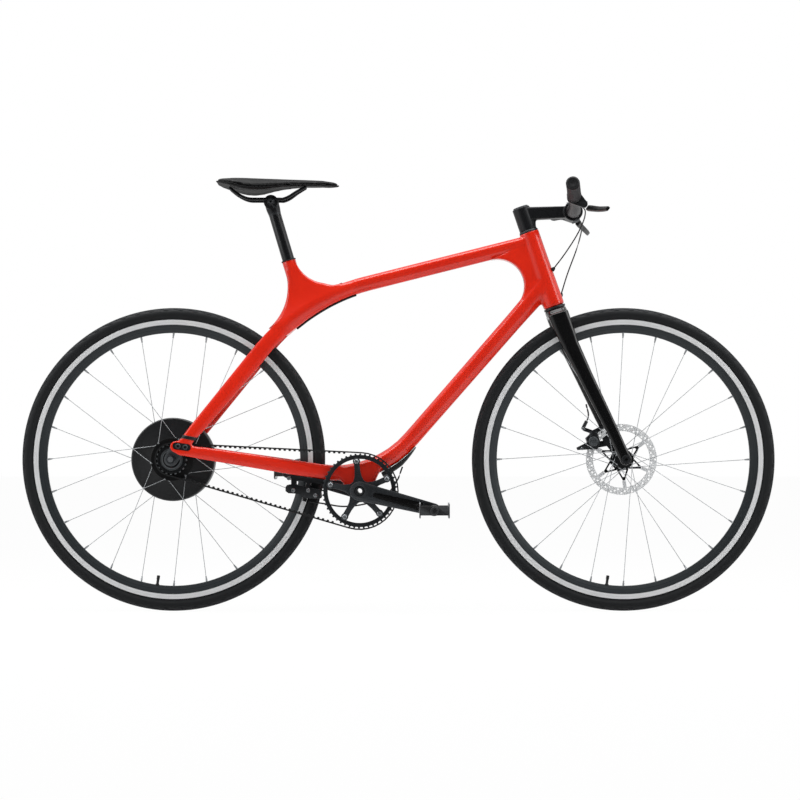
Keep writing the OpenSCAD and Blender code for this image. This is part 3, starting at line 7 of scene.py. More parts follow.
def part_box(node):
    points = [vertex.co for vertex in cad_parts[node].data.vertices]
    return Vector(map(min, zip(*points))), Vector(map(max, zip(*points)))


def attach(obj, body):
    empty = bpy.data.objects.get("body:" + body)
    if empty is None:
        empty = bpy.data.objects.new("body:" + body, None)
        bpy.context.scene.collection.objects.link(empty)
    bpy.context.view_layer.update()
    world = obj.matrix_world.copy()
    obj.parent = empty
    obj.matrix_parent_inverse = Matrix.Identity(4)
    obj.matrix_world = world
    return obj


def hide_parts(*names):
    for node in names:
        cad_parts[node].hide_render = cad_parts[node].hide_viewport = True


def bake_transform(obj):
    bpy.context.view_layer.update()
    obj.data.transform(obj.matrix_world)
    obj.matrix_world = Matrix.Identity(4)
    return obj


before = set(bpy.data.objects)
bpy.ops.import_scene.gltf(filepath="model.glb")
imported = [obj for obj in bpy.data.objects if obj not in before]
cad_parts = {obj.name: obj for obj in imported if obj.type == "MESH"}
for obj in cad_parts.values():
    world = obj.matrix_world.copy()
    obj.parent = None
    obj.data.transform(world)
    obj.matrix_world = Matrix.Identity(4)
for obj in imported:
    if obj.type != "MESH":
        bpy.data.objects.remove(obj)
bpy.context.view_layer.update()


# Camera: level with the hubs and 4.75 m off the drive side, as a studio takes a bicycle.
# Its shift puts the picture's middle above the lens axis, where the photograph has it.
# Places are written in millimetres: ahead of the rear axle, left of the middle, above the ground.
rear_tyre_low, rear_tyre_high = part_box("rear_tyre")
rear_axle_x = (rear_tyre_low.x + rear_tyre_high.x) / 2
ground_z = rear_tyre_low.z
MM = 0.001


def spot(ahead, left, up):
    return Vector((rear_axle_x + ahead * MM, left * MM, ground_z + up * MM))


bpy.ops.object.select_all(action="DESELECT")
bpy.ops.object.camera_add(location=spot(528.7, -4750, 348.4), rotation=(math.pi / 2, 0, 0))
camera = bpy.context.object
camera.name = "studio_camera"
camera.data.sensor_width = 36
camera.data.lens = 95.46
camera.data.shift_x = -0.0125
camera.data.shift_y = 0.069
bpy.context.scene.camera = camera


# Studio: a pale floor that keeps a soft shadow, a large softbox overhead and two weak side panels.
# The backdrop is white to the camera, and reflections see it white behind the bicycle and dim in front.
def linear(hex_colour):
    """A hex colour as the linear values that shaders take."""
    parts = [int(hex_colour[i:i + 2], 16) / 255 for i in (1, 3, 5)]
    return tuple(c / 12.92 if c <= 0.04045 else ((c + 0.055) / 1.055) ** 2.4 for c in parts) + (1.0,)


def feed(tree, node, inputs):
    """Sets a node's inputs. Each is a value, or a (node, output) pair to link."""
    for name, value in inputs.items():
        if isinstance(value, tuple) and isinstance(value[0], bpy.types.Node):
            tree.links.new(value[0].outputs[value[1]], node.inputs[name])
        else:
            node.inputs[name].default_value = value


def wire(tree, kind, inputs, **settings):
    """Adds one node with its settings and its inputs."""
    node = tree.nodes.new(kind)
    for name, value in settings.items():
        setattr(node, name, value)
    feed(tree, node, inputs)
    return node


def ranged(tree, value, start, stop, low, high, kind="LINEAR"):
    """Maps a value from one span to another, and gives the (node, output) pair that carries it."""
    return wire(tree, "ShaderNodeMapRange", {0: value, 1: start, 2: stop, 3: low, 4: high}, interpolation_type=kind), 0


scene = bpy.context.scene
scene.view_settings.view_transform = "Standard"
world = bpy.data.worlds.new("studio_air")
scene.world = world
world.use_nodes = True
air = world.node_tree
path = wire(air, "ShaderNodeLightPath", {})
aim = wire(air, "ShaderNodeSeparateXYZ", {0: (wire(air, "ShaderNodeTexCoord", {}), "Generated")})
depth = ranged(air, (aim, "Y"), -0.85, 0.1, 0.06, 1.0, "SMOOTHSTEP")
behind = ranged(air, (aim, "Y"), 0.3, 0.95, 1.0, 0.5, "SMOOTHSTEP")
gleam = wire(air, "ShaderNodeMath", {0: depth, 1: behind}, operation="MULTIPLY")
room = wire(air, "ShaderNodeBackground", {"Color": (1, 1, 1, 1), "Strength": 0.38})
mirrored_room = wire(air, "ShaderNodeBackground", {"Color": (1, 1, 1, 1), "Strength": (gleam, 0)})
backdrop = wire(air, "ShaderNodeBackground", {"Color": (1, 1, 1, 1), "Strength": 1.0})
seen = wire(air, "ShaderNodeMath", {0: (path, "Is Camera Ray"), 1: (path, "Is Transmission Ray")},
            operation="MAXIMUM")
lit = wire(air, "ShaderNodeMixShader", {0: (path, "Is Glossy Ray"), 1: (room, 0), 2: (mirrored_room, 0)})
whole = wire(air, "ShaderNodeMixShader", {0: (seen, 0), 1: (lit, 0), 2: (backdrop, 0)})
feed(air, air.nodes["World Output"], {"Surface": (whole, 0)})

bpy.ops.mesh.primitive_plane_add(size=60, location=spot(503, 0, 0))
floor = bpy.context.object
floor.name = "studio_floor"
paper = bpy.data.materials.new("white_paper_sweep")
paper.use_nodes = True
sweep = paper.node_tree
feed(sweep, sweep.nodes["Principled BSDF"], {"Base Color": linear("#F4F4F4"), "Roughness": 0.9})
path = wire(sweep, "ShaderNodeLightPath", {})
seen = wire(sweep, "ShaderNodeMath", {0: (path, "Is Camera Ray"), 1: (path, "Is Glossy Ray")}, operation="MAXIMUM")
seen = wire(sweep, "ShaderNodeMath", {0: (seen, 0), 1: (path, "Is Transmission Ray")}, operation="MAXIMUM")
part = wire(sweep, "ShaderNodeMath", {0: (seen, 0), 1: 0.97}, operation="MULTIPLY")
aim = wire(sweep, "ShaderNodeSeparateXYZ", {0: (wire(sweep, "ShaderNodeNewGeometry", {}), "Incoming")})
depth = ranged(sweep, (aim, "Y"), 1.0, 0.55, 0.06, 0.9, "SMOOTHSTEP")
shine = wire(sweep, "ShaderNodeMix", {0: (path, "Is Glossy Ray"), 2: 1.0, 3: depth})
white = wire(sweep, "ShaderNodeEmission", {"Color": (1, 1, 1, 1), "Strength": (shine, 0)})
whole = wire(sweep, "ShaderNodeMixShader", {0: (part, 0), 1: (sweep.nodes["Principled BSDF"], 0), 2: (white, 0)})
feed(sweep, sweep.nodes["Material Output"], {"Surface": (whole, 0)})
paper.cycles.emission_sampling = "NONE"
floor.data.materials.append(paper)

# Softboxes as [name, place in mm, size in m, power in W], all aimed at the bicycle's middle.
panels = [
    ("softbox_overhead", (450, -300, 2700), (3.6, 1.6), 85),
    ("panel_ahead", (2900, -900, 1500), (1.0, 2.0), 18),
    ("panel_behind", (-1900, -900, 1300), (1.0, 2.0), 16),
]
for name, place, size, power in panels:
    where = spot(*place)
    turn = (spot(500, 0, 450) - where).to_track_quat("-Z", "Y").to_euler()
    bpy.ops.object.light_add(type="AREA", location=where, rotation=turn)
    lamp = bpy.context.object
    lamp.name = name
    lamp.data.shape = "RECTANGLE"
    lamp.data.size, lamp.data.size_y = size
    lamp.data.energy = power


# Frame: one moulded shell in gloss red, its tubes creased along their sides and blended where they meet.
# The solid's facets are remeshed into an even skin and smoothed, most where tubes run into each other.
# Its bores for the steerer, post and cranks and the bolt recess of each rear shoe are then cut clean.
SAME_SPOT = 0.01 * MM


def select_only(piece):
    bpy.ops.object.select_all(action="DESELECT")
    piece.select_set(True)
    bpy.context.view_layer.objects.active = piece


def open_up(piece):
    """Opens a piece for editing, with all of it selected."""
    select_only(piece)
    bpy.ops.object.mode_set(mode="EDIT")
    bpy.ops.mesh.select_all(action="SELECT")


def close_up():
    bpy.ops.object.mode_set(mode="OBJECT")


def twin(piece, name):
    """A copy of a piece's mesh, under another name."""
    copy = bpy.data.objects.new(name, piece.data.copy())
    copy.data.name = name
    scene.collection.objects.link(copy)
    return copy


def copy_of(node, name):
    """A copy of a solid, with its loose triangles merged, to be worked on."""
    piece = twin(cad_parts[node], name)
    open_up(piece)
    bpy.ops.mesh.remove_doubles(threshold=SAME_SPOT)
    close_up()
    return piece


def shade(piece, sharp):
    """Shades a piece smooth, apart from edges that bend by more than an angle."""
    select_only(piece)
    bpy.ops.object.shade_smooth_by_angle(angle=math.radians(sharp))


def modify(piece, kind, **settings):
    """Adds a modifier with its settings and applies it."""
    select_only(piece)
    bpy.ops.object.modifier_add(type=kind)
    modifier = piece.modifiers[-1]
    for name, value in settings.items():
        setattr(modifier, name, value)
    bpy.ops.object.modifier_apply(modifier=modifier.name)


def smooth(piece, rounds, **settings):
    modify(piece, "SMOOTH", factor=0.5, iterations=rounds, **settings)


def remesh(piece, cell, rounds):
    """Covers a piece with an even skin of cells of a size in mm, and smooths it."""
    modify(piece, "REMESH", mode="VOXEL", voxel_size=cell * MM, use_smooth_shade=True)
    smooth(piece, rounds)


def joined(name, pieces):
    """Joins pieces into one of that name."""
    bpy.ops.object.select_all(action="DESELECT")
    for piece in pieces:
        piece.select_set(True)
    bpy.context.view_layer.objects.active = pieces[0]
    if len(pieces) > 1:
        bpy.ops.object.join()
    pieces[0].name = pieces[0].data.name = name
    return pieces[0]


def facing(place, way):
    """A move that sets what stands at the origin at a place, with its axis along a way."""
    return Matrix.Translation(place) @ Vector(way).to_track_quat("Z", "Y").to_matrix().to_4x4()


def turned(name, outline, place, way, sides=24, ring=False, sharp=35):
    """Turns a piece about an axis: from (distance along the axis, radius) steps in mm, set at a place.

    The first step is a disc and each other step is extruded from it. A ring has no discs, and closes on itself.
    """
    bpy.ops.object.select_all(action="DESELECT")
    bpy.ops.mesh.primitive_circle_add(vertices=sides, radius=outline[0][1] * MM, location=(0, 0, 0),
                                      fill_type="NOTHING" if ring else "NGON")
    piece = bpy.context.object
    piece.name = piece.data.name = name
    bpy.ops.object.mode_set(mode="EDIT")
    bpy.ops.mesh.select_mode(type="VERT")
    bpy.ops.mesh.select_all(action="SELECT")
    bpy.ops.transform.translate(value=(0, 0, outline[0][0] * MM))
    for (was_at, was), (at, radius) in zip(outline, outline[1:] + outline[:1] if ring else outline[1:]):
        bpy.ops.mesh.extrude_region_move(TRANSFORM_OT_translate={"value": (0, 0, (at - was_at) * MM)})
        bpy.ops.transform.resize(value=(radius / was, radius / was, 1), center_override=(0, 0, at * MM))
    bpy.ops.mesh.select_all(action="SELECT")
    bpy.ops.mesh.remove_doubles(threshold=SAME_SPOT)
    bpy.ops.mesh.normals_make_consistent(inside=False)
    close_up()
    piece.data.transform(facing(place, way))
    shade(piece, sharp)
    return piece


def fit(piece, finish, body, slot, *nodes):
    """Gives a finished piece its material and its body, and hides the solids that it stands for. Its slot is not used.
    """
    piece.data.materials.clear()
    piece.data.materials.append(finish)
    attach(piece, body)
    if nodes:
        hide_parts(*nodes)


def new_finish(name):
    finish = bpy.data.materials.new(name)
    finish.use_nodes = True
    return finish, finish.node_tree, finish.node_tree.nodes["Principled BSDF"]


def noise(tree, place, size, detail=2.0):
    """Even noise of a size in mm over a place, which is a (node, output) pair."""
    return wire(tree, "ShaderNodeTexNoise", {"Vector": place, "Scale": 1 / (size * MM), "Detail": detail}), "Fac"


def mixed(tree, share, colour, other):
    """Mixes a share of another colour into one. Each is a value or a pair, and so is what it gives."""
    return wire(tree, "ShaderNodeMix", {0: share, 6: colour, 7: other}, data_type="RGBA"), 2


def raised(tree, height, strength, relief):
    """A relief in mm after a height."""
    return wire(tree, "ShaderNodeBump", {"Height": height, "Strength": strength, "Distance": relief * MM}), "Normal"


def lacquered(name, dark, pale, drift, ripple, rough, specular, coat, coat_rough):
    """A sprayed finish under a clear coat: two tones that drift, and a ripple in the coat, both sized in mm."""
    finish, tree, shader = new_finish(name)
    where = (wire(tree, "ShaderNodeTexCoord", {}), "Object")
    feed(tree, shader, {
        "Base Color": mixed(tree, noise(tree, where, drift), linear(dark), linear(pale)), "Roughness": rough,
        "Specular IOR Level": specular, "Coat Weight": coat, "Coat Roughness": coat_rough, "Coat IOR": 1.5,
        "Coat Normal": raised(tree, noise(tree, where, ripple, detail=1.0), 0.05, 0.2)})
    return finish


# Sprayed and clear-coated composite: deep red under a wet clear coat, which alone mirrors the room.
# The red drifts a little over 80 mm, and the coat has a faint ripple of 25 mm.
red_lacquer = lacquered("gloss_red_lacquer_on_composite", "#CC1C04", "#DA260A", 80, 25, 0.5, 0.08, 1.0, 0.12)

HEAD_LOW = spot(851.7, 0, 680.5)
HEAD_UP = Vector((-math.cos(math.radians(71.2)), 0, math.sin(math.radians(71.2))))
HEAD_FORE = Vector((HEAD_UP.z, 0, -HEAD_UP.x))
COLLAR = spot(257, 0, 784)
POST_UP = Vector((-math.cos(math.radians(73.4)), 0, math.sin(math.radians(73.4))))
CRANK_AXLE = spot(417, 0, 269)
REAR_AXLE = spot(0, 0, 339)
FRONT_AXLE = spot(1006, 0, 339)
ACROSS = Vector((0, 1, 0))

skin = copy_of("frame", "frame_skin")
# Plugs fill the bores while the skin is remeshed, so that their walls stay whole.
plugs = [
    turned("head_plug", [(0, 20), (176, 20)], HEAD_LOW, HEAD_UP),
    turned("post_plug", [(-60, 14.4), (0, 14.4)], COLLAR, POST_UP),
    turned("crank_plug", [(-34.5, 19.5), (34.5, 19.5)], CRANK_AXLE, ACROSS),
]
skin = joined("frame_skin", [skin] + plugs)
remesh(skin, 1.3, 14)
# The seat stub's foot swells to the width of the spine under it, and its front web runs out level with the spine.
# In mm: half the stub's width, and how high and by how much its foot swells.
STUB_HALF, FOOT_HIGH, FOOT_MORE = 13.3, 60, 13
# Where the web starts to run out and over what length, in mm, and the share of its height that goes.
RUN_START, RUN_LENGTH, RUN_SHARE = 335, 45, 0.94
for vertex in skin.data.vertices:
    ahead, up = (vertex.co.x - rear_axle_x) / MM, (vertex.co.z - ground_z) / MM
    # The rise is counted from the spine's top line, which climbs and is a little crowned.
    rise = up - 636.7 - 0.654 * (ahead - 220.8) + 4.5 * ((ahead - 297) / 77) ** 2
    if 195 < ahead < 390 and -4 < rise < FOOT_HIGH:
        more = max(0, FOOT_MORE - 0.075 * (ahead - 250)) * (1 - max(0, rise) / FOOT_HIGH) ** 2
        wide = abs(vertex.co.y) / MM
        swell = (STUB_HALF + more) * min(1, wide / STUB_HALF)
        vertex.co.y = math.copysign(max(wide, swell) * MM, vertex.co.y)
        run = min(1, max(0, (ahead - RUN_START) / RUN_LENGTH))
        vertex.co.z -= RUN_SHARE * max(0, rise) * (3 * run ** 2 - 2 * run ** 3) * MM
# Places where tubes blend: middle in mm, reach in mm.
blends = [((255, 0, 700), 85), ((310, 0, 690), 85), ((365, 0, 715), 65), ((240, 0, 630), 95),
          ((850, 0, 750), 110), ((440, 0, 290), 90), ((40, -68, 372), 40), ((40, 68, 372), 40)]
group = skin.vertex_groups.new(name="blends")
for vertex in skin.data.vertices:
    near = max(1 - (vertex.co - spot(*place)).length / (reach * MM) for place, reach in blends)
    if near > 0:
        group.add([vertex.index], min(1.0, 2 * near), "REPLACE")
smooth(skin, 130, vertex_group="blends")
skin.vertex_groups.clear()
modify(skin, "DECIMATE", ratio=0.32)

SHOE = spot(25.2, 0, 367)
SHOE_TILT = Matrix.Rotation(math.radians(8), 4, "Y")


def oval(name, from_y, to_y, radius, reach):
    """An oval plug across a rear shoe: a drum whose two halves are drawn apart, then tilted with the shoe."""
    plug = turned(name, [(from_y, radius), (to_y, radius)], (0, 0, 0), ACROSS, sides=32)
    for vertex in plug.data.vertices:
        vertex.co.x += math.copysign(reach * MM, vertex.co.x)
    plug.data.transform(Matrix.Translation(SHOE) @ SHOE_TILT)
    return plug


cutters = joined("frame_cutters", [
    turned("head_bore", [(-10, 18.6), (190, 18.6)], HEAD_LOW, HEAD_UP, sides=48),
    turned("crank_bore", [(-40, 18.3), (40, 18.3)], CRANK_AXLE, ACROSS, sides=48),
    turned("post_bore", [(-58, 13.9), (10, 13.9)], COLLAR, POST_UP, sides=48),
    oval("right_recess", -80, -73, 8.1, 12.3),
    oval("left_recess", 73, 80, 8.1, 12.3),
])
modify(skin, "BOOLEAN", object=cutters, operation="DIFFERENCE", solver="MANIFOLD")
bpy.data.objects.remove(cutters)
open_up(skin)
bpy.ops.mesh.dissolve_degenerate(threshold=2 * SAME_SPOT)
close_up()
shade(skin, 40)
fit(skin, red_lacquer, "frame", "red_paint", "frame")


# Trim on the frame: a rubber strip that closes the cable channel under the spine, a black band round the right
# stay, a black oval sheet laid as painted shade on the floor of the recess of each rear shoe with two socket bolts in
# that recess, and a gasket on the seat collar.
# The strip and band take their curves from the frame's skin; the rest is turned and pressed in.
def grained(name, dark, pale, grain, rough, relief=0.0, metallic=0.0, specular=0.4, edge=None):
    """A finish with an even grain in mm: two tones, a span of roughness, a relief in mm, and worn edges."""
    finish, tree, shader = new_finish(name)
    grit = noise(tree, (wire(tree, "ShaderNodeTexCoord", {}), "Object"), grain, detail=3.0)
    tone = mixed(tree, grit, linear(dark), linear(pale))
    if edge:
        bend = (wire(tree, "ShaderNodeNewGeometry", {}), "Pointiness")
        tone = mixed(tree, ranged(tree, bend, 0.52, 0.6, 0.0, 0.8), tone, linear(edge))
    if relief:
        feed(tree, shader, {"Normal": raised(tree, grit, 0.5, relief)})
    feed(tree, shader, {"Base Color": tone, "Roughness": ranged(tree, grit, 0.3, 0.7, *rough),
                        "Metallic": metallic, "Specular IOR Level": specular})
    return finish


def sliced(piece, place, way):
    """Cuts a piece by a plane and drops what lies beyond it."""
    open_up(piece)
    bpy.ops.mesh.bisect(plane_co=place, plane_no=way, clear_outer=True)
    close_up()


def bolt(name, place, way, radius, height):
    """A socket bolt's head in mm: a chamfered drum with a hexagon sunk in its face."""
    place, way = Vector(place), Vector(way).normalized()
    key = 0.5 * radius
    head = turned(name, [(-1, radius), (0.75 * height, radius), (height, 0.85 * radius), (height, key),
                         (0.4 * height, key)], place, way, sides=24, sharp=30)
    turn = way.to_track_quat("Z", "Y")
    for vertex in head.data.vertices:
        out = turn.inverted() @ (vertex.co - place)
        if abs(math.hypot(out.x, out.y) - key * MM) < 0.01 * radius * MM:
            bearing = math.degrees(math.atan2(out.y, out.x)) % 60 - 30
            grow = math.cos(math.radians(30)) / math.cos(math.radians(bearing))
            vertex.co = place + turn @ Vector((out.x * grow, out.y * grow, out.z))
    return head


def repeated(name, piece, moves):
    """Copies a piece once for each move, a matrix, and joins the copies in its place."""
    copies = []
    for move in moves:
        copy = piece.copy()
        copy.data = piece.data.copy()
        copy.data.transform(move)
        if move.determinant() < 0:
            copy.data.flip_normals()
        scene.collection.objects.link(copy)
        copies.append(copy)
    bpy.data.objects.remove(piece)
    return joined(name, copies)


STAY_PUT = Matrix.Identity(4)
OTHER_SIDE = Matrix.Diagonal((1, -1, 1, 1))
BOTH_SIDES = (STAY_PUT, OTHER_SIDE)

# Extruded rubber: matt black with a fine bloom of about 2 mm.
strip_rubber = grained("black_rubber_extruded", "#0B0C0D", "#151618", 2, (0.5, 0.7), relief=0.05, specular=0.3)
bpy.ops.object.select_all(action="DESELECT")
bpy.ops.mesh.primitive_grid_add(x_subdivisions=36, y_subdivisions=6, size=1, location=(0, 0, 0))
strip = bpy.context.object
strip.name = strip.data.name = "spine_strip"
strip.data.transform(Matrix.Translation(spot(341, 0, 575)) @ Matrix.Diagonal((138 * MM, 15 * MM, 1, 1)))
modify(strip, "SHRINKWRAP", target=skin, wrap_method="PROJECT", use_project_x=False, use_project_y=False,
       use_project_z=True, use_negative_direction=False, use_positive_direction=True)
strip.data.transform(Matrix.Translation((0, 0, 1.5 * MM)))
smooth(strip, 8)
modify(strip, "SOLIDIFY", thickness=4.5 * MM, offset=-1)
modify(strip, "BEVEL", width=1.2 * MM, segments=3, limit_method="ANGLE", angle_limit=math.radians(50))
shade(strip, 40)
fit(strip, strip_rubber, "frame", "black_plastic")

# Vinyl film: black, satin, with a faint mottle of 6 mm.
band_film = grained("black_vinyl_film", "#141516", "#1E1F21", 6, (0.35, 0.45))
band = twin(skin, "stay_band")
BAND_TOP = spot(18, 0, 395)
BAND_UP = Vector((0.192, 0, 0.981))
sliced(band, BAND_TOP, BAND_UP)
sliced(band, BAND_TOP - 7.6 * MM * BAND_UP, -BAND_UP)
sliced(band, spot(0, -40, 0), (0, 1, 0))
sliced(band, spot(90, 0, 0), (1, 0, 0))
modify(band, "SOLIDIFY", thickness=0.9 * MM, offset=1)
fit(band, band_film, "frame", "black_plastic")

# Black oxide on steel: near-black and satin, thinned to grey at its edges.
black_bolts = grained("black_oxide_steel", "#101113", "#1C1E20", 1, (0.3, 0.42), metallic=0.5, edge="#5A5D60")
# A black oval sheet on the floor of each shoe's recess, as painted shade in the recess.
shoe_shade_sheet = oval("shoe_recess_shade_sheets", -73.6, -72.2, 7.7, 12.3)
fit(repeated("shoe_recess_shade_sheets", shoe_shade_sheet, BOTH_SIDES), strip_rubber, "frame", "black_plastic")
shoe_bolt = bolt("shoe_bolts", spot(17.2, -73.4, 368.1), -ACROSS, 5.6, 3)
shoe_bolts = repeated("shoe_bolts", shoe_bolt, [
    side @ Matrix.Translation((ahead * MM, 0, -ahead * 0.14 * MM))
    for side in BOTH_SIDES for ahead in (0, 15.9)])
fit(shoe_bolts, black_bolts, "frame", "black_metal")
gasket = turned("collar_gasket", [(-1, 13.8), (-1, 16.4), (1.2, 16.4), (2.0, 15.4), (2.0, 13.8)], COLLAR, POST_UP,
                sides=48, ring=True)
fit(gasket, strip_rubber, "frame", "black_plastic")


# Guard: a shield of moulded nylon under the foot of the down tube, clipped over the cable's way out.
# Its solid is remeshed and smoothed, and it keeps the pebble of its mould.
guard_nylon = grained("black_nylon_pebble_moulded", "#0E0F10", "#191A1C", 1.4, (0.42, 0.6), relief=0.12, specular=0.35)
guard = copy_of("bottom_cover", "down_tube_guard")
remesh(guard, 1.5, 6)
fit(guard, guard_nylon, "frame", "black_plastic", "bottom_cover")


# Bearing cups of the cranks and of the steering: turned aluminium, anodised black, pressed in the frame.
# Their edges are eased, and the lathe's rings show across them.
def eased(node, name, width, angle=32, clamp=True):
    """A copy of a solid with its flat faces merged and its edges rounded by a width in mm."""
    piece = copy_of(node, name)
    open_up(piece)
    bpy.ops.mesh.dissolve_limited(angle_limit=math.radians(0.8))
    close_up()
    modify(piece, "BEVEL", width=width * MM, segments=2, limit_method="ANGLE",
           angle_limit=math.radians(angle), use_clamp_overlap=clamp)
    shade(piece, angle)
    return piece


def dress(node, name, width, finish, body, slot, **easing):
    """Shows an eased and finished copy in place of a solid."""
    fit(eased(node, name, width, **easing), finish, body, slot, node)


def ringed(name, axle, pitch, rough, metallic, bands, relief=0.02, specular=0.5):
    """A turned finish with rings at a pitch in mm round an axle, in bands of (radius in mm, colour)."""
    finish, tree, shader = new_finish(name)
    where = wire(tree, "ShaderNodeTexCoord", {})
    centred = wire(tree, "ShaderNodeMapping", {"Vector": (where, "Object"), "Location": tuple(-axle)})
    flat = wire(tree, "ShaderNodeVectorMath", {0: (centred, 0), 1: (1, 0, 1)}, operation="MULTIPLY")
    radius = wire(tree, "ShaderNodeVectorMath", {0: (flat, 0)}, operation="LENGTH")
    rings = (wire(tree, "ShaderNodeTexNoise", {"W": (radius, "Value"), "Scale": 1 / (pitch * MM), "Detail": 2.0},
                  noise_dimensions="1D"), "Fac")
    tone = linear(bands[0][1])
    for start, colour in bands[1:]:
        beyond = wire(tree, "ShaderNodeMath", {0: (radius, "Value"), 1: start * MM}, operation="GREATER_THAN")
        tone = mixed(tree, (beyond, 0), tone, linear(colour))
    tone = mixed(tree, ranged(tree, rings, 0.3, 0.7, 0.0, 0.22), tone, (0, 0, 0, 1))
    feed(tree, shader, {"Base Color": tone, "Roughness": ranged(tree, rings, 0.3, 0.7, *rough), "Metallic": metallic,
                        "Specular IOR Level": specular, "Normal": raised(tree, rings, 0.4, relief)})
    return finish


cup_metal = ringed("black_anodised_aluminium_turned", CRANK_AXLE, 1.2, (0.3, 0.45), 0.4, [(0, "#131416")])
dress("bottom_bracket", "crank_bearing_cups", 0.5, cup_metal, "frame", "black_metal")
# Anodised and bead-blasted aluminium: an even black satin, grey where its edges are rubbed.
black_satin = grained("black_anodised_aluminium_blasted", "#0F1012", "#191A1D", 1.1, (0.34, 0.46), relief=0.03,
                      metallic=0.35, edge="#4A4D50")
dress("headset_cups", "steering_bearing_cups", 0.6, black_satin, "frame", "black_metal")


# Seatpost, its clamp and the saddle's rails: a drawn and anodised post, a forged drum with one bolt across it,
# and two bent steel rods that the drum grips. The post has faint marks of drawing along it.
post_metal, tree, shader = new_finish("black_anodised_aluminium_drawn")
where = wire(tree, "ShaderNodeTexCoord", {})
along = wire(tree, "ShaderNodeMapping", {"Vector": (where, "Object"), "Rotation": (0, math.radians(16.6), 0),
                                         "Scale": (1, 1, 0.03)})
streaks = noise(tree, (along, 0), 0.9)
feed(tree, shader, {"Base Color": mixed(tree, streaks, linear("#0D0E10"), linear("#17181B")),
                    "Roughness": ranged(tree, streaks, 0.3, 0.7, 0.24, 0.36), "Metallic": 0.3})
dress("seatpost", "drawn_seatpost", 0.6, post_metal, "frame", "black_metal")
post_head = turned("seatpost_head", [(106, 13.6), (113, 14.4), (120, 15.4), (128, 15.6), (134, 14.6)], COLLAR, POST_UP,
                   sides=48, sharp=50)
fit(post_head, black_satin, "frame", "black_metal")
CLAMP = spot(218.43, 0, 913.37)
dress("saddle_clamp", "rail_clamp", 0.8, black_satin, "frame", "black_metal")
clamp_bolt = joined("clamp_bolts", [
    bolt("clamp_bolt_head", CLAMP - 24.6 * MM * ACROSS, -ACROSS, 5.2, 3.4),
    turned("clamp_washer", [(-0.5, 7.6), (1.0, 7.6), (1.4, 7.2), (1.4, 5.4)], CLAMP - 24.8 * MM * ACROSS, -ACROSS),
])
fit(repeated("clamp_bolts", clamp_bolt, BOTH_SIDES), black_bolts, "frame", "black_metal")
rails = copy_of("saddle_rails", "bent_saddle_rails")
modify(rails, "SUBSURF", levels=1, render_levels=1)
shade(rails, 50)
rail_steel = grained("black_plated_steel_rod", "#101113", "#1E2023", 3, (0.22, 0.34), metallic=0.6)
fit(rails, rail_steel, "frame", "black_metal", "saddle_rails")


# Saddle: a foam pad under synthetic leather, pulled down over a nylon base and glued there.
# The pad is swollen by a cloth simulation, held where it is glued; a welt runs round it where top meets side.
CLOTH_STEPS, MOST_SWELL = 20, 3.5 * MM
pad = copy_of("saddle", "saddle_pad")
modify(pad, "DISPLACE", strength=-1.2 * MM, mid_level=0)
remesh(pad, 4.5, 3)
glued = pad.vertex_groups.new(name="glued")
for vertex in pad.data.vertices:
    if vertex.normal.z < -0.3:
        glued.add([vertex.index], 1.0, "REPLACE")
before = [vertex.co.copy() for vertex in pad.data.vertices]
select_only(pad)
bpy.ops.object.modifier_add(type="CLOTH")
cloth = pad.modifiers[-1]
cloth.settings.use_pressure = True
cloth.settings.uniform_pressure_force = 4
cloth.settings.effector_weights.gravity = 0
cloth.settings.vertex_group_mass = "glued"
cloth.point_cache.frame_end = CLOTH_STEPS
for moment in range(1, CLOTH_STEPS + 1):
    scene.frame_set(moment)
bpy.ops.object.modifier_apply(modifier=cloth.name)
scene.frame_set(1)
for vertex, start in zip(pad.data.vertices, before):
    swell = vertex.co - start
    if swell.length > MOST_SWELL:
        vertex.co = start + swell * (MOST_SWELL / swell.length)
pad.vertex_groups.clear()
smooth(pad, 4)
modify(pad, "SUBSURF", levels=1, render_levels=1)

# Synthetic leather, embossed: a cell grain of 1.6 mm, drawn about twice its real size to show.
saddle_leather, tree, shader = new_finish("black_synthetic_leather_embossed")
where = (wire(tree, "ShaderNodeTexCoord", {}), "Object")
cells = wire(tree, "ShaderNodeTexVoronoi", {"Vector": where, "Scale": 1 / (1.6 * MM)}, feature="SMOOTH_F1")
wear = noise(tree, where, 45)
feed(tree, shader, {"Base Color": mixed(tree, wear, linear("#040405"), linear("#090A0B")),
                    "Roughness": ranged(tree, wear, 0.3, 0.7, 0.4, 0.52), "Specular IOR Level": 0.16,
                    "Normal": raised(tree, (cells, "Distance"), 0.35, 0.12)})
fit(pad, saddle_leather, "frame", "saddle_cover", "saddle")

# The welt's line along the pad's side: (share of the saddle's length, height above the ground in mm).
SADDLE_TAIL, SADDLE_LONG = 96.5, 274
welt_heights = [(0.015, 961.5), (0.06, 957.5), (0.13, 952.5), (0.22, 947.5), (0.31, 946), (0.4, 948), (0.5, 950.5),
                (0.6, 953), (0.72, 955), (0.84, 954.8), (0.93, 952), (0.985, 950)]
shown = pad.evaluated_get(bpy.context.evaluated_depsgraph_get())
welt = []
for side in (-1, 1):
    row = []
    for share, height in welt_heights:
        start = spot(SADDLE_TAIL + SADDLE_LONG * share, side * 200, height)
        hit, point, *_ = shown.ray_cast(start, -side * ACROSS)
        if hit:
            row.append(point + side * 0.25 * MM * ACROSS)
    welt += row if side < 0 else row[::-1]
path_data = bpy.data.curves.new("saddle_welt", "CURVE")
path_data.dimensions = "3D"
path_data.bevel_depth = 0.75 * MM
path_data.bevel_resolution = 2
path_data.resolution_u = 6
line = path_data.splines.new("NURBS")
line.points.add(len(welt) - 1)
for point, place in zip(line.points, welt):
    point.co = (*place, 1)
line.use_cyclic_u = True
line.order_u = 3
welt = bpy.data.objects.new("saddle_welt", path_data)
scene.collection.objects.link(welt)
select_only(welt)
bpy.ops.object.convert(target="MESH")
welt = bpy.context.object
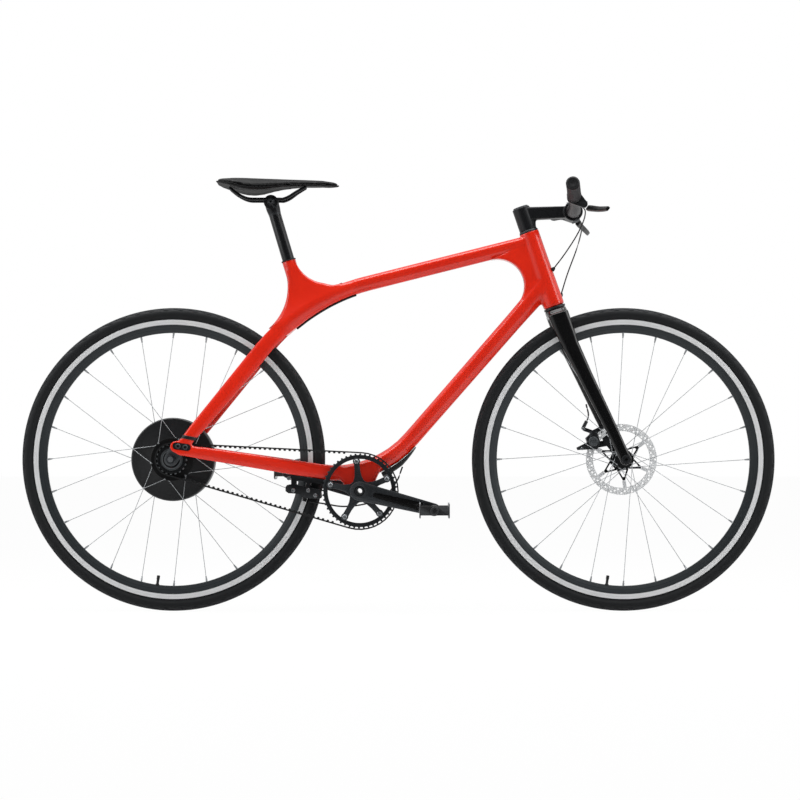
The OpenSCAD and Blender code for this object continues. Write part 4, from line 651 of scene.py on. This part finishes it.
fit(welt, saddle_leather, "frame", "saddle_cover")


def pick(piece, wanted):
    """Opens a piece for editing with the faces selected that a test wants."""
    open_up(piece)
    bpy.ops.mesh.select_mode(type="FACE")
    bpy.ops.mesh.select_all(action="DESELECT")
    close_up()
    for face in piece.data.polygons:
        face.select = wanted(face)
    bpy.ops.object.mode_set(mode="EDIT")


# The nylon base closes the pad's underside; its edge shows as a thin line all round.
base_nylon = grained("black_nylon_base_moulded", "#060607", "#0C0D0E", 1.4, (0.5, 0.66), relief=0.1, specular=0.14)
base = copy_of("saddle", "saddle_base")
remesh(base, 3, 4)
pick(base, lambda face: face.normal.z > -0.35)
bpy.ops.mesh.delete(type="FACE")
close_up()
smooth(base, 6)
modify(base, "SOLIDIFY", thickness=2.2 * MM, offset=0.6)
fit(base, base_nylon, "frame", "black_plastic")


# Rear end: two zinc-plated steel plates behind the shoes, and the motor's axle with its flats, nuts and tails.
# The plates are cut from sheet; the axle is turned steel, bright where the nuts have been drawn up.
plate_steel = grained("zinc_plated_steel_sheet", "#3A3D40", "#55595C", 2, (0.32, 0.45), metallic=0.6, edge="#8C9093")
dress("dropout_plates", "rear_end_plates", 0.6, plate_steel, "frame", "grey_metal")
bright_steel = grained("stainless_steel_turned", "#8B8F93", "#B9BCBF", 1.2, (0.2, 0.34), metallic=0.75, relief=0.02)
axle_steel = ringed("dark_axle_steel_turned", REAR_AXLE, 1.2, (0.24, 0.38), 0.5, [(0, "#6A6D70"), (6.2, "#33363A")])
dress("rear_axle", "motor_axle", 0.6, axle_steel, "frame", "bright_steel")


# Rim brake: forged arms bolted under the stays, each on two posts, with rubber blocks on the brake track.
# Bolts go in from the outside; the cable comes from the down tube to the right arm.
dress("rear_brake", "rim_brake_arms", 0.9, black_satin, "frame", "black_metal")
pad_rubber = grained("black_rubber_moulded_block", "#0C0C0D", "#18181A", 1.5, (0.6, 0.8), relief=0.08, specular=0.25)
dress("rear_brake_pads", "rim_brake_blocks", 0.9, pad_rubber, "frame", "brake_rubber")
arm_bolt = bolt("rim_brake_bolts", spot(269, -34.3, 270.1), -ACROSS, 4.4, 3.2)
arm_bolts = repeated("rim_brake_bolts", arm_bolt, [
    side @ Matrix.Translation((ahead * MM, 0, up * MM)) for side in BOTH_SIDES
    for ahead, up in ((0, 0), (33.5, 0), (49, -11), (-10, 27))])
fit(arm_bolts, bright_steel, "frame", "bright_steel")


def slim(node, name, less):
    """A copy of a cable's solid, thinner by a wall in mm, rounded and smooth."""
    piece = copy_of(node, name)
    modify(piece, "DISPLACE", strength=-less * MM, mid_level=0)
    modify(piece, "SUBSURF", levels=1, render_levels=1)
    select_only(piece)
    bpy.ops.object.shade_smooth()
    return piece


# Cable housing: a wire coil in a drawn plastic sheath, satin black with a faint mottle of 3 mm.
sheath = grained("black_cable_housing_extruded", "#101112", "#1C1D1F", 3, (0.38, 0.5), relief=0.05)
fit(slim("rear_brake_cable", "rear_brake_housing", 0.6), sheath, "frame", "cable_sheath", "rear_brake_cable")


# Fork: two blades and a crown in one composite piece, sprayed gloss black, on a bonded steerer.
# Its solid is remeshed and smoothed, so that the blades grow out of the crown.
black_gloss = lacquered("gloss_black_lacquer_on_composite", "#030304", "#09090A", 60, 20, 0.45, 0.06, 0.85, 0.1)
blades = copy_of("fork", "fork_blades")
remesh(blades, 1.9, 10)
shade(blades, 50)
fit(blades, black_gloss, "steering", "black_metal", "fork")
dress("steerer", "steerer_tube", 0.4, post_metal, "steering", "black_metal")


# Stem: a forged and anodised arm from the steerer to the bar, with a split clamp whose faceplate four bolts hold,
# and a cap with one bolt on the steerer's top.
def on_head(fore, left, up):
    """A place in mm ahead of, left of and up along the steering axis."""
    return HEAD_LOW + (fore * HEAD_FORE + up * HEAD_UP) * MM + left * MM * ACROSS


stem = copy_of("stem", "stem_arm")
remesh(stem, 1.1, 7)
shade(stem, 50)
fit(stem, black_satin, "steering", "black_metal", "stem")
dress("stem_faceplate", "stem_front_plate", 1.0, black_satin, "steering", "black_metal")
face_bolt = joined("faceplate_bolts", [
    turned("bolt_ear", [(-7, 4.3), (6, 4.3), (7, 3.6), (7, 3.2)], on_head(107, -14, 206.8), HEAD_FORE),
    bolt("ear_bolt", on_head(113.4, -14, 206.8), HEAD_FORE, 3.2, 2.4),
])
face_bolts = repeated("faceplate_bolts", face_bolt, [
    Matrix.Translation((across * ACROSS + down * HEAD_UP) * MM) for across in (0, 28) for down in (0, -39)])
fit(face_bolts, black_bolts, "steering", "black_metal")
cap = joined("steerer_cap", [
    turned("cap_disc", [(-0.5, 17.2), (1.6, 17.2), (2.8, 15.8), (3.0, 7.5), (2.0, 6.5), (2.0, 4.4)],
           on_head(0, 0, 233.3), HEAD_UP, sides=48),
    bolt("cap_bolt", on_head(0, 0, 235), HEAD_UP, 4.2, 2.2),
])
fit(cap, black_satin, "steering", "black_metal")


# Handlebar and grips: a drawn, bent and anodised tube, and moulded rubber sleeves pushed over its ends.
# Each sleeve has ribs 5 mm apart, a lip at its inner end, and a plug in the bar's end.
bar = copy_of("handlebar", "bent_handlebar")
shade(bar, 50)
bar_metal = grained("charcoal_anodised_aluminium_tube", "#211F21", "#2C292C", 1.2, (0.36, 0.5), metallic=0.3,
                    relief=0.02)
fit(bar, bar_metal, "steering", "black_metal", "handlebar")
# In mm from the middle: where ribs start and stop, and where the lip stops. Then pitch, depth and height.
RIBS_FROM, RIBS_TO, LIP_TO = 182, 284, 177
RIB_PITCH, RIB_DEPTH, LIP_HIGH = 5, 0.45, 0.9
sleeves = copy_of("grips", "ribbed_grips")
remesh(sleeves, 1.2, 4)
outward = [vertex.normal.copy() for vertex in sleeves.data.vertices]
for vertex, normal in zip(sleeves.data.vertices, outward):
    out = abs(vertex.co.y) / MM
    if RIBS_FROM < out < RIBS_TO:
        vertex.co -= normal * RIB_DEPTH * MM * (1 - math.cos(2 * math.pi * out / RIB_PITCH)) / 2
    elif out < LIP_TO:
        vertex.co += normal * LIP_HIGH * MM
grip_rubber = grained("charcoal_rubber_moulded", "#1B191B", "#282528", 1.3, (0.55, 0.75), relief=0.08, specular=0.3)
fit(sleeves, grip_rubber, "steering", "grip_rubber", "grips")
BAR_OUT = Vector((-6.16, -59, 4.48)).normalized()
plug = turned("bar_end_plugs", [(-6, 9.4), (-0.5, 9.4), (-0.5, 12.6), (1.0, 12.6), (2.0, 11.4), (2.0, 6), (1.4, 5)],
              spot(870.65, -295, 920.3), BAR_OUT, sides=40)
fit(repeated("bar_end_plugs", plug, BOTH_SIDES), guard_nylon, "steering", "black_plastic")


# Brake levers: a forged ring and body on the bar, a blade that pivots on one bolt, and a barrel for the cable.
# The blade is smoothed as by polishing before it is anodised.
dress("lever_mounts", "lever_bodies", 0.7, black_satin, "steering", "black_metal")
blade = copy_of("lever_blades", "polished_lever_blades")
remesh(blade, 0.9, 12)
blade_metal = grained("black_anodised_aluminium_polished", "#0A0B0C", "#121314", 1.5, (0.3, 0.42), metallic=0.1,
                      specular=0.2)
fit(blade, blade_metal, "steering", "black_metal", "lever_blades")
LEVER_WAY = Vector((0.809, 0, -0.588))
LEVER_UP = Vector((0.588, 0, 0.809))
LEVER = spot(884.5, -152, 907.6)
lever_bolt = joined("lever_bolts", [
    bolt("pivot_bolt", LEVER + (26.5 * LEVER_WAY + 7 * LEVER_UP) * MM, LEVER_UP, 3.8, 2.2),
    bolt("ring_bolt", LEVER + (-4 * LEVER_WAY + 14.5 * LEVER_UP) * MM, LEVER_UP, 3.2, 2.2),
    turned("barrel_knurl", [(0, 5.2), (1, 5.6), (5, 5.6), (6, 5.2)], LEVER + 25 * MM * LEVER_WAY + 12 * MM * ACROSS,
           ACROSS, sides=20),
])
fit(repeated("lever_bolts", lever_bolt, BOTH_SIDES), bright_steel, "steering", "bright_steel")


# Front brake: a forged caliper over the rotor's edge, its adapter on the left blade, a dial that sets the pads,
# and two bolts through its lugs. The cable comes out of the blade and goes in at the barrel.
dress("front_caliper", "disc_caliper", 0.9, black_satin, "steering", "black_metal")
dress("caliper_adapter", "disc_caliper_adapter", 0.6, black_satin, "steering", "black_metal")
ROTOR_R = 80


def on_rotor(ahead, up, left):
    """A place by shares of the rotor's radius from the front axle, and by mm left of the middle."""
    return FRONT_AXLE + Vector((ROTOR_R * ahead * MM, left * MM, ROTOR_R * up * MM))


dial = turned("pad_dial", [(-1, 11), (2.6, 11), (3.6, 10), (3.6, 6.5), (2.2, 5.5), (2.2, 3)], on_rotor(-0.8, 0.5, 28.5),
              -ACROSS, sides=36, sharp=30)
pick(dial, lambda face: abs(face.normal.y) < 0.3 and face.index % 3 == 0)
bpy.ops.mesh.inset(thickness=0.15 * MM, depth=-0.5 * MM, use_individual=True)
close_up()
dial_metal = grained("grey_anodised_aluminium", "#4A4D50", "#63676A", 1.2, (0.3, 0.42), metallic=0.5)
fit(dial, dial_metal, "steering", "grey_metal")
lug_bolts = joined("caliper_bolts", [
    bolt("upper_lug_bolt", on_rotor(-0.58, 0.84, 48), ACROSS, 4.2, 3.4),
    bolt("lower_lug_bolt", on_rotor(-0.42, 0.46, 48), ACROSS, 4.2, 3.4),
    bolt("cable_bolt", on_rotor(-1.08, 0.86, 28.5), -ACROSS, 3.6, 2.6),
    bolt("body_bolt", on_rotor(-1.12, 0.3, 28.5), -ACROSS, 3.4, 2.4),
])
fit(lug_bolts, bright_steel, "steering", "bright_steel")
fit(slim("front_brake_cable", "front_brake_housing", 0.5), sheath, "steering", "cable_sheath", "front_brake_cable")
dress("front_axle", "front_through_axle", 0.6, black_satin, "steering", "black_metal")


# Tyres: road tyres with a rounded tread, a herringbone of sipes on each shoulder and a smooth flank.
# Each is turned as one ring and its sipes are sunk; the second wheel gets a copy.
def about(axle, degrees):
    """A turn round a wheel's axle."""
    return Matrix.Translation(axle) @ Matrix.Rotation(math.radians(degrees), 4, "Y") @ Matrix.Translation(-axle)


# In mm: the beads' half distance and radius, the section's radius, and the radius at which its middle lies.
BEAD_Y, BEAD_R, SECTION_R, MIDDLE_R = 9.5, 312.4, 14, 325
section = [(-BEAD_Y, BEAD_R)]
for step in range(21):
    lean = math.radians(-126 + 12.6 * step)
    section.append((SECTION_R * math.sin(lean), MIDDLE_R + SECTION_R * math.cos(lean)))
section.append((BEAD_Y, BEAD_R))
tyre = turned("rear_road_tyre", section, REAR_AXLE, ACROSS, sides=192, ring=True, sharp=50)


def in_sipe(face):
    """Every third face of the shoulders, stepped back towards the flank so that the sipes slant."""
    out = face.center - REAR_AXLE
    around = math.degrees(math.atan2(out.z, out.x)) % 360
    reach = math.hypot(out.x, out.z) / MM
    return 332 < reach < 337.8 and math.floor(around / 1.875 + 0.35 * (338 - reach)) % 3 == 0


pick(tyre, in_sipe)
bpy.ops.mesh.inset(thickness=0.6 * MM, depth=-1.1 * MM, use_individual=True)
close_up()
front_tyre = twin(tyre, "front_road_tyre")
front_tyre.data.transform(Matrix.Translation(FRONT_AXLE - REAR_AXLE))

# Moulded tyre rubber: charcoal and matt, with fine rings of the mould on its flank.
for piece, axle, body in ((tyre, REAR_AXLE, "rear_wheel"), (front_tyre, FRONT_AXLE, "front_wheel")):
    rubber = ringed("charcoal_tyre_rubber_" + body, axle, 1.6, (0.55, 0.72), 0.0, [(0, "#17191B"), (333, "#1B1D20")],
                    relief=0.2, specular=0.25)
    fit(piece, rubber, body, "tyre_rubber", body.replace("wheel", "tyre"))


# Rims: aluminium hoops, anodised dark grey, with the brake track turned bright on both flanks.
# Each carries 24 stainless spokes, a nipple at each spoke's end, and a valve.
spoke_steel = grained("stainless_spoke_wire_drawn", "#9C9FA2", "#B9BCBE", 4, (0.3, 0.42), metallic=0.35)
nipple_brass = grained("nickel_plated_brass_nipple", "#8A8D90", "#A9ACAE", 0.8, (0.2, 0.3), metallic=0.6)
valve_rubber = grained("black_rubber_valve", "#101112", "#1A1B1C", 1, (0.5, 0.65), relief=0.04)
SPOKES, NIPPLE_R, VALVE_R = 24, 282.7, 283
# Wheels as [body, axle, radius and half distance of the spoke flanges in mm, turn of the crossed spokes].
wheels = [("front_wheel", FRONT_AXLE, 20, 25, 62), ("rear_wheel", REAR_AXLE, 47, 34, 40)]
for body, axle, flange_r, flange_y, cross in wheels:
    end = body.replace("_wheel", "")
    rim_metal = ringed("anodised_rim_with_turned_track_" + end, axle, 1.4, (0.26, 0.42), 0.35,
                       [(0, "#2B3033"), (301, "#F1F2F3")], relief=0.03)
    dress(end + "_rim", end + "_rim_hoop", 0.5, rim_metal, body, "grey_metal", angle=14)
    wires = copy_of(end + "_spokes", end + "_spoke_wires")
    modify(wires, "DISPLACE", strength=-0.4 * MM, mid_level=0)
    fit(wires, spoke_steel, body, "bright_steel", end + "_spokes")
    nipple = turned("nipple", [(-3, 2.2), (6, 2.2), (7, 1.7), (11, 1.7), (11.6, 1.2)], (0, 0, 0), (0, 0, 1), sides=8)
    head = turned("spoke_head", [(-0.6, 1.2), (0, 2.3), (0.9, 2.1), (1.4, 1.2)], (0, 0, 0), (0, 0, 1), sides=10)
    nipple_moves, head_moves = [], []
    for i in range(SPOKES):
        side = -1 if i % 2 == 0 else 1
        lead = -1 if (i // 2) % 2 == 0 else 1
        turn = 360 / SPOKES * i
        at_rim, at_hub = math.radians(turn), math.radians(turn + lead * cross)
        rim_spot = Vector((NIPPLE_R * math.cos(at_rim), side * 1.5, NIPPLE_R * math.sin(at_rim))) * MM
        hub_spot = Vector((flange_r * math.cos(at_hub), side * (flange_y + 3 * lead), flange_r * math.sin(at_hub))) * MM
        nipple_moves.append(facing(axle + rim_spot, hub_spot - rim_spot))
        head_moves.append(facing(axle + hub_spot, (0, side * lead, 0)))
    fit(repeated(end + "_nipples", nipple, nipple_moves), nipple_brass, body, "bright_steel")
    fit(repeated(end + "_spoke_heads", head, head_moves), nipple_brass, body, "bright_steel")
    low = math.radians(-97.5)
    inward = -Vector((math.cos(low), 0, math.sin(low)))
    valve = turned(end + "_valve", [(-1, 4.4), (1.5, 4.4), (2.2, 3.1), (12, 3.0), (12.4, 3.6), (20, 3.6), (21, 2.8)],
                   axle - VALVE_R * MM * inward, inward, sides=16)
    fit(valve, valve_rubber, body, "black_plastic")


# Front hub and rotor: a slim turned hub, a black star carrier held by six small bolts, and a stainless ring
# that is drilled and ground; the grinder's rings show round it.
def paint(node, finish):
    """Gives a finish to a solid that is shown as it is."""
    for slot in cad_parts[node].material_slots:
        slot.material = finish


hub_metal = ringed("black_anodised_hub_turned", FRONT_AXLE, 1.2, (0.28, 0.42), 0.4, [(0, "#121315")])
dress("front_hub", "front_hub_shell", 0.5, hub_metal, "front_wheel", "black_metal")
rotor_steel = ringed("stainless_rotor_ground", FRONT_AXLE, 0.9, (0.3, 0.44), 0.15, [(0, "#D6D8DA"), (64, "#E6E8E9")])
paint("rotor_ring", rotor_steel)
paint("rotor_spider", hub_metal)
rotor_bolt = bolt("rotor_bolts", FRONT_AXLE + Vector((17.6 * MM, 41 * MM, 0)), ACROSS, 2.7, 1.8)
rotor_bolts = repeated("rotor_bolts", rotor_bolt, [about(FRONT_AXLE, 37 + 60 * i) for i in range(6)])
fit(rotor_bolts, bright_steel, "front_wheel", "bright_steel")


# Hub motor: a drum of two turned aluminium shells, pressed together, with a flange for the spokes on each side.
# It is painted satin black over the lathe's rings, in bands that step lighter outward: the black within 48.6 mm is the
# flange's own colour, and the lighter outer bands are painted shading of the dish.
motor_paint_and_shade = ringed("satin_black_paint_and_painted_shade_on_turned_shell", REAR_AXLE, 2.4, (0.28, 0.42), 0.15,
                     [(0, "#0B0C0D"), (48.6, "#17181A"), (90.5, "#212325")], relief=0.05)
dress("motor_hub", "motor_shell", 0.8, motor_paint_and_shade, "rear_wheel", "black_metal", angle=20)


# Belt drive: a machined sprocket, a toothed belt of rubber with cords in it, and an anodised ring on the cranks.
# The sprocket's collars are ground bright between phosphated steps; the belt's solid is shown as it is.
sprocket_metal = ringed("phosphated_sprocket_steel_ground", REAR_AXLE, 1.1, (0.24, 0.38), 0.55,
                        [(0, "#1B1C1E"), (19, "#6A6E71"), (25, "#1D1F21"), (32, "#7E8285")])
dress("rear_sprocket", "belt_sprocket", 0.4, sprocket_metal, "sprocket", "bright_steel", clamp=False)
belt_rubber = grained("black_toothed_belt_moulded", "#0E0F10", "#191A1C", 1.8, (0.5, 0.65), relief=0.06)
paint("drive_belt", belt_rubber)
ring_metal = ringed("dark_anodised_ring_turned", CRANK_AXLE, 1.3, (0.3, 0.42), 0.45, [(0, "#2A2D30"), (79, "#3A3E41")])
dress("chainring", "belt_ring", 0.4, ring_metal, "crankset", "grey_metal", clamp=False)


# Cranks: forged and anodised arms, the right one with a five-armed spider, pressed on a hollow spindle.
# A gloss black sheet lies in the long recess of each arm as painted shade for the recess, and five bolts hold the
# belt's ring to the spider.
crank_metal = grained("graphite_anodised_aluminium_forged", "#26282B", "#34373A", 1.2, (0.24, 0.36), metallic=0.45,
                      relief=0.02, edge="#85898D")
for node in ("right_crank", "left_crank"):
    dress(node, node + "_arm", 1.0, crank_metal, "crankset", "black_metal", clamp=False)
spindle_steel = ringed("dark_steel_spindle_turned", CRANK_AXLE, 0.9, (0.25, 0.4), 0.5,
                       [(0, "#303235"), (9.5, "#1B1C1E")])
dress("spindle", "hollow_spindle", 0.5, spindle_steel, "crankset", "black_metal")
CRANK_WAY = Vector((math.cos(math.radians(14)), 0, -math.sin(math.radians(14))))
CRANK_UP = Vector((-CRANK_WAY.z, 0, CRANK_WAY.x))
# The shade sheet's two ends, each as (distance along the arm, half width), and its distance from the middle, in mm.
SHADE_SHEET_ENDS, SHADE_SHEET_OUT = ((33.5, 4.3), (141.5, 8.2)), 67.2
# A gloss black sheet in each arm's recess: painted shade where the recess lies in shadow.
bpy.ops.object.select_all(action="DESELECT")
bpy.ops.mesh.primitive_plane_add(size=2, location=(0, 0, 0))
recess_shade_sheet = bpy.context.object
for vertex in recess_shade_sheet.data.vertices:
    along, half = SHADE_SHEET_ENDS[int(vertex.co.x > 0)]
    half = math.copysign(half, vertex.co.y)
    vertex.co = CRANK_AXLE + (along * CRANK_WAY + half * CRANK_UP) * MM - SHADE_SHEET_OUT * MM * ACROSS
open_up(recess_shade_sheet)
bpy.ops.mesh.bevel(offset=3.4 * MM, segments=5, affect="VERTICES")
bpy.ops.mesh.select_all(action="SELECT")
bpy.ops.mesh.normals_make_consistent(inside=False)
bpy.ops.mesh.extrude_region_move(TRANSFORM_OT_translate={"value": (0, -1.3 * MM, 0)})
bpy.ops.mesh.select_all(action="SELECT")
bpy.ops.mesh.normals_make_consistent(inside=False)
close_up()
modify(recess_shade_sheet, "BEVEL", width=0.4 * MM, segments=2, limit_method="ANGLE", angle_limit=math.radians(50))
OTHER_CRANK = about(CRANK_AXLE, 180) @ OTHER_SIDE
recess_shade_sheets = repeated("crank_recess_shade_sheets", recess_shade_sheet, [STAY_PUT, OTHER_CRANK])
shade(recess_shade_sheets, 40)
fit(recess_shade_sheets, black_gloss, "crankset", "black_plastic")
ring_bolt = bolt("ring_bolts", CRANK_AXLE + Vector((66 * MM, -53.8 * MM, 0)), -ACROSS, 5, 2.2)
ring_bolts = repeated("ring_bolts", ring_bolt, [about(CRANK_AXLE, -(96 + 72 * i)) for i in range(5)])
fit(ring_bolts, bright_steel, "crankset", "bright_steel")
dress("pedal_axles", "pedal_spindles", 0.5, bright_steel, "crankset", "bright_steel")


# Pedals: moulded bodies on steel spindles, between serrated cage plates of pressed aluminium.
# Short steel pins stand on the plates' edges, and a screwed cap closes each barrel's end.
pedal_nylon = grained("black_glass_filled_nylon", "#111214", "#1D1E20", 1.3, (0.45, 0.6), relief=0.1, edge="#3A3C3E")
cage_metal = grained("brushed_aluminium_plate", "#A9ACAF", "#C6C8CA", 1.5, (0.28, 0.4), metallic=0.5, relief=0.02)
CRANK_LENGTH = 170
RIGHT_PEDAL = CRANK_AXLE + CRANK_LENGTH * MM * CRANK_WAY
# In mm from a pedal's middle: where its cage plates start, the places of its pins, and its cap.
CAGE_START, PIN_AHEAD, PINS_OUT, PIN_UP, CAP_OUT = 29.9, 31.5, (89.7, 104.3, 133.7, 148.3), 15, 163
for side, centre in ((-1, RIGHT_PEDAL), (1, 2 * CRANK_AXLE - RIGHT_PEDAL)):
    body = "right_pedal" if side < 0 else "left_pedal"
    block = eased(body, body + "_body", 0.5)
    fit(block, pedal_nylon, body, "pedal_plastic", body)
    block.data.materials.append(cage_metal)
    for face in block.data.polygons:
        face.material_index = int(abs(face.center.x - centre.x) > CAGE_START * MM)
    pin = turned("pin", [(-2, 1.5), (1.2, 1.5), (1.9, 1.0)], (0, 0, 0), (0, 0, 1), sides=10)
    moves = [facing(centre + Vector((ahead, side * out, up * PIN_UP)) * MM, (0, 0, up))
             for ahead in (-PIN_AHEAD, PIN_AHEAD) for out in PINS_OUT for up in (1, -1)]
    fit(repeated(body + "_pins", pin, moves), bright_steel, body, "bright_steel")
    lid = turned(body + "_cap", [(-2, 9.4), (1.6, 9.4), (2.4, 8.6), (2.4, 5), (1.2, 4.4)],
                 centre + side * CAP_OUT * MM * ACROSS, side * ACROSS, sides=28)
    fit(lid, pedal_nylon, body, "pedal_plastic")


# Upper brake cables: housings from the levers' barrels down into the head of the frame, through rubber grommets.
# They cross from the turning bar to the frame.
housings = slim("upper_cables", "upper_brake_housings", 0.9)
housings.data.materials.clear()
housings.data.materials.append(sheath)
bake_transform(housings)
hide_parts("upper_cables")
mouth = [(-3, 4.4), (1.5, 4.4), (2.6, 3.8), (5, 3.0), (5.4, 2.2)]
grommets = joined("cable_grommets", [
    turned("front_cable_grommet", mouth, spot(848, -10, 763.5), (25, -7, 32.5), sides=20),
    turned("rear_cable_grommet", mouth, spot(867.4, 12.2, 707.4), (15.6, 7.8, 49.6), sides=20),
])
fit(grommets, strip_rubber, "frame", "black_plastic")
